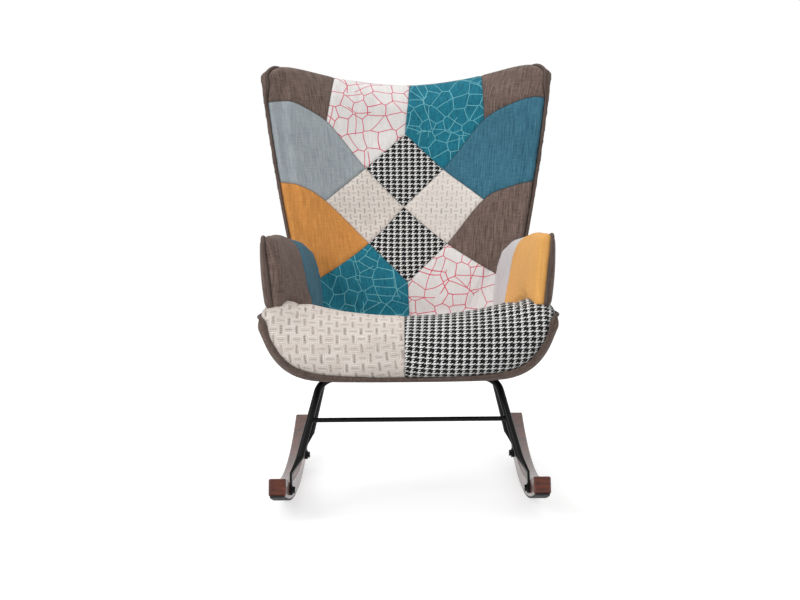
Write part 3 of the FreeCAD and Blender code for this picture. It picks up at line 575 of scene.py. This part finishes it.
def cutAlong(faces, field, locked):
    onCut, nearEnd = 0.0002, 0.25  # metres from the line, and the share of an edge that is moved onto it
    value = {vert: field(vert.co) for face in faces for vert in face.verts}
    for vert in value:
        if abs(value[vert]) < onCut:
            value[vert] = 0.0
    edges = {edge for face in faces for edge in face.edges}
    for edge in sorted(edges, key=lambda e: e.index):
        a, b = edge.verts
        if value[a] * value[b] < 0:
            share = value[a] / (value[a] - value[b])
            if share < nearEnd and a not in locked:
                a.co = a.co.lerp(b.co, share)
                value[a] = 0.0
            elif share > 1 - nearEnd and b not in locked:
                b.co = b.co.lerp(a.co, 1 - share)
                value[b] = 0.0
    for edge in sorted(edges, key=lambda e: e.index):
        a, b = edge.verts
        if value[a] * value[b] < 0:
            vert = bmesh.utils.edge_split(edge, a, value[a] / (value[a] - value[b]))[1]
            value[vert] = 0.0
    for face in faces:
        ring = list(face.verts)
        onLine = [i for i, vert in enumerate(ring) if value[vert] == 0.0]
        if len(onLine) == 2 and onLine[1] - onLine[0] not in (1, len(ring) - 1):
            bmesh.utils.face_split(face, ring[onLine[0]], ring[onLine[1]])


def divide(bm, patch, field, sides):
    # sides gives, for each patch that the line crosses, its names below and above the line.
    bm.edges.index_update()
    faces = [face for face in bm.faces if face[patch] in sides]
    locked = {v for e in seamEdges(bm, patch) for v in e.verts}
    cutAlong(faces, field, locked)
    for face in bm.faces:
        if face[patch] in sides:
            side = sum(field(vert.co) for vert in face.verts)
            face[patch] = sides[face[patch]][int(side > 0)]


def between(lowNodes, highNodes):
    # Positive nearer to the second group of solids, zero where they meet.
    low, high = nodeTree(lowNodes), nodeTree(highNodes)
    return lambda spot: low.find_nearest(spot)[3] - high.find_nearest(spot)[3]


def overLine(points):
    # Height over a line across the front of the back, its points given as (x, z).
    line = through(np.array(points))
    slope = np.gradient(line[:, 1], line[:, 0])

    def field(spot):
        rise = np.interp(spot.x, line[:, 0], slope)
        return (spot.z - np.interp(spot.x, line[:, 0], line[:, 1])) / math.sqrt(1 + rise * rise)
    return field


def sideOf(low, high):
    # To the right of a nearly upright line through two (x, z) points.
    def field(spot):
        return spot.x - low[0] - (high[0] - low[0]) * (spot.z - low[1]) / (high[1] - low[1])
    return field


def seamEdges(bm, patch):
    return [edge for edge in bm.edges
            if len(edge.link_faces) == 2 and edge.link_faces[0][patch] != edge.link_faces[1][patch]]


def seamTreeOf(edges):
    spots = []
    for edge in edges:
        a, b = (vert.co for vert in edge.verts)
        spots += [a.lerp(b, share) for share in (0.0, 0.33, 0.67, 1.0)]
    tree = KDTree(len(spots))
    for index, spot in enumerate(spots):
        tree.insert(spot, index)
    tree.balance()
    return tree


def drawInSeams(bm, patch, size):
    # Stores each point's distance from the nearest seam or cord's side, which places the painted seam shade,
    # and sinks the cloth towards it.
    farthest, shellShare, creasesPerMetre, creaseReach = 0.05, 0.25, 62, 0.022
    edges = seamEdges(bm, patch)
    corded = [edge for edge in edges if any(face[patch] == 1 for face in edge.link_faces)]
    plain, edged = seamTreeOf([edge for edge in edges if edge not in corded]), seamTreeOf(corded)
    seam = bm.verts.layers.float.new("seam")
    bm.normal_update()
    for vert in bm.verts:
        besideCord = max(edged.find(vert.co)[2] - size["weltRadius"], 0.0)
        vert[seam] = min(plain.find(vert.co)[2], besideCord, farthest)
    for vert in bm.verts:
        shell = any(face[patch] == 1 for face in vert.link_faces)
        crease = 0.0
        if not shell:
            crease = size["pucker"] * math.exp(-vert[seam] / creaseReach)
            crease *= noise.noise(vert.co * creasesPerMetre)
        sink = size["seamDepth"] * (shellShare if shell else 1.0)
        vert.co -= vert.normal * (sink * math.exp(-(vert[seam] / size["seamReach"]) ** 2) + crease)


def refineSeams(bm, patch):
    # One finer ring of faces along every seam.
    near = {face for edge in seamEdges(bm, patch) for vert in edge.verts for face in vert.link_faces}
    edges = list({edge for face in near for edge in face.edges})
    bmesh.ops.subdivide_edges(bm, edges=edges, cuts=1, use_grid_fill=True)
    bmesh.ops.triangulate(bm, faces=[face for face in bm.faces if len(face.verts) > 4])


# Cloth coordinates: each patch is flattened, turned to its grain and brought to real size

def layCloth(piece, grains, method):
    mesh = piece.data
    bm = opened(mesh)
    patch = bm.faces.layers.int["patch"]
    for edge in seamEdges(bm, patch):
        edge.seam = True
    bm.to_mesh(mesh)
    bm.free()
    mesh.uv_layers.new(name="cloth")
    bpy.context.view_layer.objects.active = piece
    piece.select_set(True)
    bpy.ops.object.mode_set(mode="EDIT")
    bpy.ops.mesh.select_all(action="SELECT")
    bpy.ops.uv.unwrap(method=method, iterations=6, margin=0.0)
    bpy.ops.object.mode_set(mode="OBJECT")
    piece.select_set(False)
    bm = opened(mesh)
    patch = bm.faces.layers.int["patch"]
    layer = bm.loops.layers.uv["cloth"]
    for label in sorted({face[patch] for face in bm.faces}):
        faces = [face for face in bm.faces if face[patch] == label]
        alignPatch(faces, layer, Vector(grains.get(label, (0, 0, 1))))
    bm.to_mesh(mesh)
    bm.free()


def alignPatch(faces, layer, grain):
    flat, real = 0.0, 0.0
    heading = Vector((0, 0))
    for face in faces:
        a, b, c = face.loops[0], face.loops[1], face.loops[2]
        first, second = b.vert.co - a.vert.co, c.vert.co - a.vert.co
        flatFirst, flatSecond = b[layer].uv - a[layer].uv, c[layer].uv - a[layer].uv
        area = first.cross(second).length
        flatArea = flatFirst.cross(flatSecond)
        flat += abs(flatArea)
        real += area
        # The grain's direction inside this face, carried over to the flat patch.
        s11, s12, s22 = first.dot(first), first.dot(second), second.dot(second)
        g1, g2 = grain.dot(first), grain.dot(second)
        span = s11 * s22 - s12 * s12
        if span < 1e-18:
            continue
        along = (g1 * s22 - g2 * s12) / span
        across = (g2 * s11 - g1 * s12) / span
        heading += (flatFirst * along + flatSecond * across) * area
    scale = math.sqrt(real / max(flat, 1e-12))
    turn = math.atan2(heading.x, heading.y)
    cosine, sine = math.cos(turn) * scale, math.sin(turn) * scale
    for face in faces:
        for loop in face.loops:
            u, v = loop[layer].uv
            loop[layer].uv = (u * cosine - v * sine, u * sine + v * cosine)


def wrapCloth(piece, radius, axisStart, axisLean):
    # Upright grain on a piece that bends round a leaning axis.
    for loop in piece.data.loops:
        spot = piece.data.vertices[loop.vertex_index].co
        turn = math.atan2(spot.x, spot.y - axisStart - axisLean * spot.z)
        piece.data.uv_layers["cloth"].data[loop.index].uv = (turn * radius, spot.z)


def splitPiece(source, name, patches, materials, thickness, grains, method):
    # The faces of some patches as a piece of their own, with a closed thickness.
    bm = source.copy()
    patch = bm.faces.layers.int["patch"]
    bmesh.ops.delete(bm, geom=[face for face in bm.faces if face[patch] not in patches], context="FACES")
    piece = newObject(name, meshFrom(bm, name))
    labels = sorted(patches)
    for label in labels:
        piece.data.materials.append(materials[label])
    bm = opened(piece.data)
    patch = bm.faces.layers.int["patch"]
    for face in bm.faces:
        face.material_index = labels.index(face[patch])
        face.smooth = True
    bm.to_mesh(piece.data)
    bm.free()
    layCloth(piece, grains, method)
    solid = piece.modifiers.new("thickness", "SOLIDIFY")
    solid.thickness = thickness
    solid.offset = -1.0
    solid.use_even_offset = False
    return piece


def seamLine(bm, patch, first, second, near, reach):
    # The longest chain of edges between two groups of patches, where a construction's welt lies.
    links = {}
    for edge in bm.edges:
        if len(edge.link_faces) != 2:
            continue
        labels = {face[patch] for face in edge.link_faces}
        if labels & first and labels & second:
            if all(near.find_nearest(vert.co)[3] < reach for vert in edge.verts):
                for vert in edge.verts:
                    links.setdefault(vert, []).append(edge)
    best = []
    left = set(links)
    while left:
        ends = [vert for vert in left if len(links[vert]) == 1]
        vert = min(ends or left, key=lambda v: v.index)
        chain = [vert]
        left.discard(vert)
        while True:
            around = [edge.other_vert(chain[-1]) for edge in links[chain[-1]]]
            steps = [vert for vert in around if vert in left]
            if not steps:
                break
            chain.append(steps[0])
            left.discard(steps[0])
        if len(chain) > len(best):
            best = chain
    spots = np.array([vert.co[:] for vert in best])
    outward = np.array([vert.normal[:] for vert in best])
    return spots, outward


# Welts and staples, by geometry nodes along a line of edges

def cordTree():  # a round cord with closed ends
    tree, given, out = newGroup(
        "weltCord", "GeometryNodeTree",
        {"Line": ("NodeSocketGeometry", None), "Radius": (floatIn, 0.004), "Step": (floatIn, 0.004),
         "Finish": ("NodeSocketMaterial", None)},
        {"Geometry": "NodeSocketGeometry"})
    curve = addNode(tree, "GeometryNodeMeshToCurve", {0: given["Line"]})
    even = addNode(tree, "GeometryNodeResampleCurve", {"Curve": curve.outputs[0], "Length": given["Step"]},
                   mode="LENGTH")
    ring = addNode(tree, "GeometryNodeCurvePrimitiveCircle", {"Resolution": 12, "Radius": given["Radius"]})
    cord = addNode(tree, "GeometryNodeCurveToMesh",
                   {"Curve": even.outputs[0], "Profile Curve": ring.outputs[0], "Fill Caps": True})
    real = addNode(tree, "GeometryNodeRealizeInstances", {0: cord.outputs[0]})
    smooth = addNode(tree, "GeometryNodeSetShadeSmooth", {0: real.outputs[0]})
    finished = addNode(tree, "GeometryNodeSetMaterial", {"Geometry": smooth.outputs[0],
                                                         "Material": given["Finish"]})
    tree.links.new(finished.outputs[0], out["Geometry"])
    return tree


def stapleTree():  # flat staples, one after the other along the line
    tree, given, out = newGroup(
        "staples", "GeometryNodeTree",
        {"Line": ("NodeSocketGeometry", None), "Gap": (floatIn, 0.032),
         "Staple": (vectorIn, (0.0012, 0.0012, 0.01)), "Finish": ("NodeSocketMaterial", None)},
        {"Geometry": "NodeSocketGeometry"})
    curve = addNode(tree, "GeometryNodeMeshToCurve", {0: given["Line"]})
    spots = addNode(tree, "GeometryNodeCurveToPoints", {"Curve": curve.outputs[0], "Length": given["Gap"]},
                    mode="LENGTH")
    staple = addNode(tree, "GeometryNodeMeshCube", {"Size": given["Staple"]})
    placed = addNode(tree, "GeometryNodeInstanceOnPoints",
                     {"Points": spots.outputs["Points"], "Instance": staple.outputs["Mesh"],
                      "Rotation": spots.outputs["Rotation"]})
    real = addNode(tree, "GeometryNodeRealizeInstances", {0: placed.outputs[0]})
    finished = addNode(tree, "GeometryNodeSetMaterial", {"Geometry": real.outputs[0],
                                                         "Material": given["Finish"]})
    tree.links.new(finished.outputs[0], out["Geometry"])
    return tree


lineTrees = {"cord": cordTree(), "staples": stapleTree()}


def alongLine(name, points, kind, values, closed=False):
    edges = [(i, i + 1) for i in range(len(points) - 1)] + ([(len(points) - 1, 0)] if closed else [])
    mesh = bpy.data.meshes.new(name)
    mesh.from_pydata([tuple(p) for p in points], edges, [])
    piece = newObject(name, mesh)
    modifier = piece.modifiers.new("along", "NODES")
    modifier.node_group = lineTrees[kind]
    for item in lineTrees[kind].interface.items_tree:
        if item.in_out == "INPUT" and item.name in values:
            modifier[item.identifier] = values[item.name]
    piece.data = evaluatedMesh(piece)
    piece.modifiers.clear()
    return piece


def smoothLine(points, turns=12):
    points = points.copy()
    for turn in range(turns):
        points[1:-1] = points[1:-1] * 0.5 + (points[:-2] + points[2:]) * 0.25
    return points


def weltCord(name, line, size, node):
    spots, outward = line
    path = smoothLine(spots + outward * size["weltStand"])
    cord = alongLine(name, path, "cord", {"Radius": size["weltRadius"], "Finish": fabrics["weltBrown"]})
    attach(cord, "root")
    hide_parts(node)
    return cord


# The pads

def makePad(name, size, foamNodes, frontNodes, shellNodes, boards, neighbours, rise=lambda spot: 0.0,
            reshape=None):
    # The pad's body with its cloth labelled: 1 on the shell, 2 on the front. The seam moves by rise.
    body = remeshed(name, foamNodes + frontNodes + shellNodes + boards, size["voxel"])
    seamField = between(shellNodes, frontNodes)

    def field(spot):
        return seamField(spot) - rise(spot)
    held = heldWeights(body.data, field, size["freeReach"], nodeTree(neighbours))
    swell(body, held, size)
    if reshape:
        for vert in body.data.vertices:
            vert.co = reshape(vert.co)
    core = opened(body.data)
    core.normal_update()
    for vert in core.verts:
        vert.co -= vert.normal * size["coverThickness"] * 2.5
    corePiece = newObject(name + "Foam", meshFrom(core, name + "Foam"))
    for face in corePiece.data.polygons:
        face.use_smooth = True
    corePiece.data.materials.append(hardFinishes["foam"])
    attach(corePiece, "root")
    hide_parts(*foamNodes)
    bm = opened(body.data)
    bpy.data.objects.remove(body)
    patch = bm.faces.layers.int.new("patch")
    for face in bm.faces:
        face[patch] = 1
    divide(bm, patch, field, {1: (1, 2)})
    return bm, patch


def coverPiece(bm, name, materials, size, nodes, grains=None, method="CONFORMAL"):
    piece = splitPiece(bm, name, set(materials), {key: fabrics[value] for key, value in materials.items()},
                       size["coverThickness"], grains or {}, method)
    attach(piece, "root")
    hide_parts(*nodes)
    return piece


# What all pads share; each pad adds its own below.
padSizes = {"pressure": 4.0, "coverThickness": 0.0015, "weltRadius": 0.004, "weltStand": 0.0018,
            "weltNear": 0.03}
backSizes = padSizes | {
    "voxel": 0.0055, "inset": 0.003, "cap": 0.009, "freeReach": 0.05, "fill": 0.9,
    "seamDepth": 0.0022, "seamReach": 0.0045, "pucker": 0.0009, "wingOut": 0.014,
    "wrapRadius": 0.36, "axisStart": -0.44, "axisLean": 0.46,
}
# The front's seams, as (x, z) in metres; each starts at the left.
backSeams = {
    "fallsRight": [(-0.360, 0.884), (-0.332, 0.887), (-0.278, 0.891), (-0.237, 0.873), (-0.192, 0.843),
                   (-0.149, 0.792), (-0.099, 0.729), (-0.008, 0.635), (0.094, 0.549), (0.211, 0.478),
                   (0.350, 0.402)],
    "risesRight": [(-0.350, 0.400), (-0.201, 0.477), (-0.092, 0.551), (-0.008, 0.635), (0.087, 0.725),
                   (0.141, 0.790), (0.187, 0.845), (0.237, 0.875), (0.295, 0.895), (0.335, 0.892),
                   (0.360, 0.889)],
    "lowLeft": [(-0.350, 0.704), (-0.305, 0.699), (-0.254, 0.691), (-0.194, 0.654), (-0.092, 0.551),
                (0.000, 0.458), (0.100, 0.350)],
    "lowRight": [(-0.100, 0.350), (0.000, 0.458), (0.094, 0.549), (0.181, 0.653), (0.244, 0.684),
                 (0.303, 0.698), (0.350, 0.703)],
    "roofLeft": [(-0.300, 0.560), (-0.192, 0.654), (-0.099, 0.729), (-0.004, 0.811), (0.100, 0.905)],
    "roofRight": [(-0.100, 0.895), (-0.004, 0.811), (0.087, 0.725), (0.181, 0.653), (0.300, 0.548)],
    "topLeft": [(-0.192, 0.843), (-0.178, 0.933)],
    "topMiddle": [(-0.004, 0.811), (0.007, 0.918)],
    "topRight": [(0.187, 0.845), (0.184, 0.940)],
    "lowMiddle": [(0.004, 0.337), (0.000, 0.458)],
}


def makeBack():
    size, seams = backSizes, backSeams

    def rise(spot):  # along the wings the front cloth reaches a little further round the edge
        return -size["wingOut"] * easing(abs(spot.x), 0.21, 0.27) * easing(spot.z, 0.935, 0.885)

    neighbours = ["seat_foam", "seat_top_cover", "seat_border_cover", "arm_inner_cover_left",
                  "arm_inner_cover_right", "arm_outer_cover_left", "arm_outer_cover_right"]
    bm, patch = makePad("back", size, ["back_foam"], ["back_front_cover"], ["back_rear_cover"],
                        ["back_board"], neighbours, rise)
    lowLeft, lowRight = overLine(seams["lowLeft"]), overLine(seams["lowRight"])
    roofLeft, roofRight = overLine(seams["roofLeft"]), overLine(seams["roofRight"])
    # 3 top, 4 left, 5 right and 6 bottom; then the diamonds come off their inner ends.
    divide(bm, patch, overLine(seams["fallsRight"]), {2: (4, 3)})
    divide(bm, patch, overLine(seams["risesRight"]), {4: (6, 4), 3: (5, 3)})
    divide(bm, patch, lambda spot: min(lowLeft(spot), lowRight(spot)), {4: (7, 4), 5: (8, 5), 6: (6, 9)})
    divide(bm, patch, lambda spot: max(roofLeft(spot), roofRight(spot)),
           {3: (10, 3), 4: (11, 4), 5: (12, 5)})
    divide(bm, patch, sideOf(*seams["topMiddle"]), {3: (3, 13)})
    divide(bm, patch, sideOf(*seams["topLeft"]), {3: (14, 3)})
    divide(bm, patch, sideOf(*seams["topRight"]), {13: (13, 15)})
    divide(bm, patch, sideOf(*seams["lowMiddle"]), {6: (6, 16)})
    refineSeams(bm, patch)
    drawInSeams(bm, patch, size)
    welt = seamLine(bm, patch, {1}, set(range(2, 17)), nodeTree(["back_piping"]), size["weltNear"])
    coverPiece(bm, "backPatchwork", {
        3: "redPrint", 4: "blueGrey", 5: "tealPlain", 6: "tealPrint", 7: "orange", 8: "brown",
        9: "houndstooth", 10: "houndstooth", 11: "basketBack", 12: "basketPale", 13: "tealPrint",
        14: "brown", 15: "brown", 16: "redPrint"}, size, ["back_front_cover"],
        method="MINIMUM_STRETCH")
    shell = coverPiece(bm, "backShell", {1: "brown"}, size, ["back_rear_cover"])
    wrapCloth(shell, size["wrapRadius"], size["axisStart"], size["axisLean"])
    weltCord("backWelt", welt, size, "back_piping")
    bm.free()


seatSizes = padSizes | {
    "voxel": 0.0055, "inset": 0.003, "cap": 0.008, "freeReach": 0.05, "fill": 0.9, "seamDepth": 0.002,
    "seamReach": 0.0045, "pucker": 0.0009, "middleSeam": -0.008, "rearSeam": -0.150,
    "tipRise": 0.012, "tipFrom": 0.245, "tipTo": 0.315, "endLift": 0.004,
}


def makeSeat():
    size = seatSizes

    def rise(spot):  # the border comes up round the two ends
        return size["tipRise"] * easing(abs(spot.x), size["tipFrom"], size["tipTo"])

    def reshape(spot):  # the roll's ends stand up before the arms
        ends = easing(abs(spot.x), 0.12, 0.27) * easing(abs(spot.x), 0.335, 0.285)
        lift = ends * easing(spot.y, -0.17, -0.25) * easing(spot.z, 0.345, 0.385)
        return Vector((spot.x, spot.y, spot.z + size["endLift"] * lift))

    bm, patch = makePad("seat", size, ["seat_foam"], ["seat_top_cover"], ["seat_border_cover"],
                        ["seat_board"], ["back_foam", "back_front_cover", "back_rear_cover",
                                         "arm_inner_cover_left", "arm_inner_cover_right"], rise, reshape)
    divide(bm, patch, lambda spot: spot.y - size["rearSeam"], {2: (2, 3)})
    divide(bm, patch, lambda spot: spot.x - size["middleSeam"], {2: (2, 4)})
    refineSeams(bm, patch)
    drawInSeams(bm, patch, size)
    welt = seamLine(bm, patch, {1}, {2, 3, 4}, nodeTree(["seat_piping"]), size["weltNear"])
    grain = (0, 0.7, 0.7)
    coverPiece(bm, "seatPatchwork", {2: "basket", 3: "redPrint", 4: "houndstooth"}, size,
               ["seat_top_cover"], {2: grain, 3: (0, 1, 0), 4: grain}, "MINIMUM_STRETCH")
    coverPiece(bm, "seatBorder", {1: "brown"}, size, ["seat_border_cover"])
    weltCord("seatWelt", welt, size, "seat_piping")
    bm.free()


armSizes = padSizes | {
    "voxel": 0.005, "inset": 0.002, "cap": 0.005, "freeReach": 0.04, "fill": 0.95, "seamDepth": 0.0018,
    "seamReach": 0.004, "pucker": 0.0008, "crestLift": 0.012, "cornerLift": 0.010,
}
# Where each arm's inner cloths meet, as (z, y), and the cloths before and behind that seam.
armCloths = {
    "left": ([(0.30, -0.028), (0.435, -0.036), (0.462, -0.049), (0.519, -0.048),
              (0.560, -0.034), (0.62, -0.010)],
             "brown", "tealPlain"),
    "right": ([(0.30, -0.034), (0.419, -0.041), (0.484, -0.043), (0.518, -0.037),
               (0.545, -0.030), (0.62, -0.008)],
              "armOrange", "armGrey"),
}


def makeArm(side):
    size = armSizes
    inner, outer = "arm_inner_cover_" + side, "arm_outer_cover_" + side

    def reshape(spot):  # a fuller crest, and the lower front corner drawn up behind the seat's roll
        top = easing(spot.z, 0.46, 0.55) * easing(spot.y, -0.26, -0.10) * easing(spot.y, 0.11, 0.05)
        low = easing(spot.z, 0.425, 0.385) * easing(spot.y, -0.15, -0.24)
        return Vector((spot.x, spot.y, spot.z + size["crestLift"] * top + size["cornerLift"] * low))

    bm, patch = makePad("arm" + side.capitalize(), size, ["arm_foam_" + side], [inner], [outer],
                        ["arm_board_" + side], ["back_foam", "back_rear_cover", "back_front_cover"],
                        reshape=reshape)
    points, front, rear = armCloths[side]
    seam = np.array(points)
    divide(bm, patch, lambda spot: spot.y - np.interp(spot.z, seam[:, 0], seam[:, 1]), {2: (2, 3)})
    refineSeams(bm, patch)
    drawInSeams(bm, patch, size)
    welt = seamLine(bm, patch, {1}, {2, 3}, nodeTree(["arm_piping_" + side]), size["weltNear"])
    ending = side.capitalize()
    coverPiece(bm, "armPatchwork" + ending, {2: front, 3: rear}, size, [inner])
    coverPiece(bm, "armShell" + ending, {1: "brown"}, size, [outer])
    weltCord("armWelt" + ending, welt, size, "arm_piping_" + side)
    bm.free()


makeBack()
print("back made")
makeSeat()
print("seat made")
for side in ("left", "right"):
    makeArm(side)
print("arms made")


# Under the seat: the dust cloth, stapled to the board

dustSizes = {"sag": 0.003, "grid": 0.02, "thickness": 0.0008, "stapleGap": 0.032, "stapleIn": 0.006}


def makeDustCover():
    size = dustSizes
    low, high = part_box("seat_dust_cover")
    bm = nodeCopy(["seat_dust_cover"])
    bmesh.ops.remove_doubles(bm, verts=bm.verts, dist=0.00001)
    bm.normal_update()
    bmesh.ops.delete(bm, geom=[face for face in bm.faces if face.normal.z > -0.9], context="FACES")
    bmesh.ops.dissolve_limit(bm, angle_limit=0.05, verts=bm.verts, edges=bm.edges)
    for axis in (0, 1):
        steps = int((high[axis] - low[axis]) / size["grid"])
        for step in range(1, steps):
            spot, normal = Vector((0, 0, 0)), Vector((0, 0, 0))
            spot[axis] = low[axis] + (high[axis] - low[axis]) * step / steps
            normal[axis] = 1
            everything = bm.verts[:] + bm.edges[:] + bm.faces[:]
            bmesh.ops.bisect_plane(bm, geom=everything, plane_co=spot, plane_no=normal)
    rim = [vert.co.copy() for vert in bm.verts if vert.is_boundary]
    middle = (low + high) / 2
    for vert in bm.verts:
        across = abs(vert.co.x - middle.x) / (high.x - low.x) * 2
        along = abs(vert.co.y - middle.y) / (high.y - low.y) * 2
        sag = (1 - across ** 2) * (1 - along ** 2)
        vert.co.z -= size["sag"] * max(sag, 0) + 0.0002
    area = sum(face.calc_area() for face in bm.faces)
    sheet = newObject("dustCover", meshFrom(bm, "dustCover"))
    for face in sheet.data.polygons:
        face.use_smooth = True
    sheet.data.materials.append(hardFinishes["dustCloth"])
    solid = sheet.modifiers.new("thickness", "SOLIDIFY")
    solid.thickness = size["thickness"]
    solid.offset = -1.0
    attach(sheet, "root")
    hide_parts("seat_dust_cover")
    rim.sort(key=lambda spot: math.atan2(spot.y - middle.y, spot.x - middle.x))
    line = []
    for spot in rim:
        inward = Vector((middle.x - spot.x, middle.y - spot.y, 0)).normalized()
        line.append(spot + inward * size["stapleIn"] - Vector((0, 0, 0.0004)))
    values = {"Gap": size["stapleGap"], "Finish": hardFinishes["zinc"]}
    staples = alongLine("dustCoverStaples", line, "staples", values, closed=True)
    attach(staples, "root")


makeDustCover()
print("dust cover made")


# The hard parts keep their own shapes and get their finishes

finishOf = {
    "front_leg_hoop": "blackSteel", "rear_leg_hoop": "blackSteel", "front_stretcher": "blackSteel",
    "mounting_rail": "blackSteel", "arm_brackets": "zinc", "back_brackets": "zinc",
    "rocker_left": "wood", "rocker_right": "wood", "rocker_strip": "rubber", "rocker_bolts": "blackBolt",
    "rocker_bolt_washers": "blackBolt", "rocker_threaded_inserts": "zinc", "bracket_screws": "zinc",
    "seat_bolt": "blackBolt", "seat_tee_nuts": "zinc", "seat_board": "plywood", "back_board": "plywood",
    "arm_board": "plywood",
}
for name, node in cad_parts.items():
    for start, finish in finishOf.items():
        if name.startswith(start):
            for slot in node.material_slots:
                slot.material = hardFinishes[finish]
print("hard parts finished")


# Floor, light and camera, in metres

stageSizes = {"floor": 30.0, "floorShine": 0.62, "skyLevel": 0.5}


def makeFloor():
    half = stageSizes["floor"] / 2
    mesh = bpy.data.meshes.new("floor")
    corners = [(-half, -half, 0), (half, -half, 0), (half, half, 0), (-half, half, 0)]
    mesh.from_pydata(corners, [], [(0, 1, 2, 3)])
    floor = newObject("floor", mesh)
    material, tree, shader = newMaterial("paleFloor")
    glow = times(tree, seenDirectly(tree), stageSizes["floorShine"])
    setInputs(shader, {"Base Color": (0.7, 0.7, 0.7, 1), "Roughness": 0.9, "Emission Color": (1, 1, 1, 1),
                       "Emission Strength": glow})
    mesh.materials.append(material)


def makeSky():
    world = bpy.data.worlds.new("studio")
    bpy.context.scene.world = world
    world.use_nodes = True
    tree = world.node_tree
    dim = stageSizes["skyLevel"]
    level = sums(tree, "MULTIPLY_ADD", seenDirectly(tree), 1 - dim, dim)
    setInputs(tree.nodes["Background"], {"Color": (1, 1, 1, 1), "Strength": level})


lamps = {  # place, width, watts; each faces the middle of the chair
    "keyLight": ((-2.6, -3.0, 2.3), 1.8, 66.0),
    "fillLight": ((2.2, -3.4, 1.6), 2.0, 16.0),
    "topLight": ((-0.3, 0.4, 3.0), 2.0, 24.0),
}
cameraSizes = {"eye": (0.0, -3.548, 0.762), "down": math.radians(5.35), "roll": math.radians(0.52),
               "lens": 70.16, "shift": -0.0101}


def makeLamp(name, place, width, watts):
    data = bpy.data.lights.new(name, "AREA")
    data.size = width
    data.energy = watts
    lamp = bpy.data.objects.new(name, data)
    bpy.context.scene.collection.objects.link(lamp)
    lamp.location = place
    lamp.rotation_euler = (Vector((0, 0, 0.5)) - Vector(place)).to_track_quat("-Z", "Y").to_euler()


def makeCamera():
    size = cameraSizes
    data = bpy.data.cameras.new("camera")
    data.lens = size["lens"]
    data.shift_x = size["shift"]
    camera = bpy.data.objects.new("camera", data)
    bpy.context.scene.collection.objects.link(camera)
    ahead = Vector((0, math.cos(size["down"]), -math.sin(size["down"])))
    level, up = Vector((1, 0, 0)), Vector((0, math.sin(size["down"]), math.cos(size["down"])))
    right = level * math.cos(size["roll"]) - up * math.sin(size["roll"])
    over = level * math.sin(size["roll"]) + up * math.cos(size["roll"])
    turned = Matrix((right, over, -ahead)).transposed().to_4x4()
    turned.translation = Vector(size["eye"])
    camera.matrix_world = turned
    bpy.context.scene.camera = camera


makeFloor()
makeSky()
for name, values in lamps.items():
    makeLamp(name, *values)
makeCamera()
bpy.context.scene.view_settings.view_transform = "Standard"
print("stage, lamps and camera made")
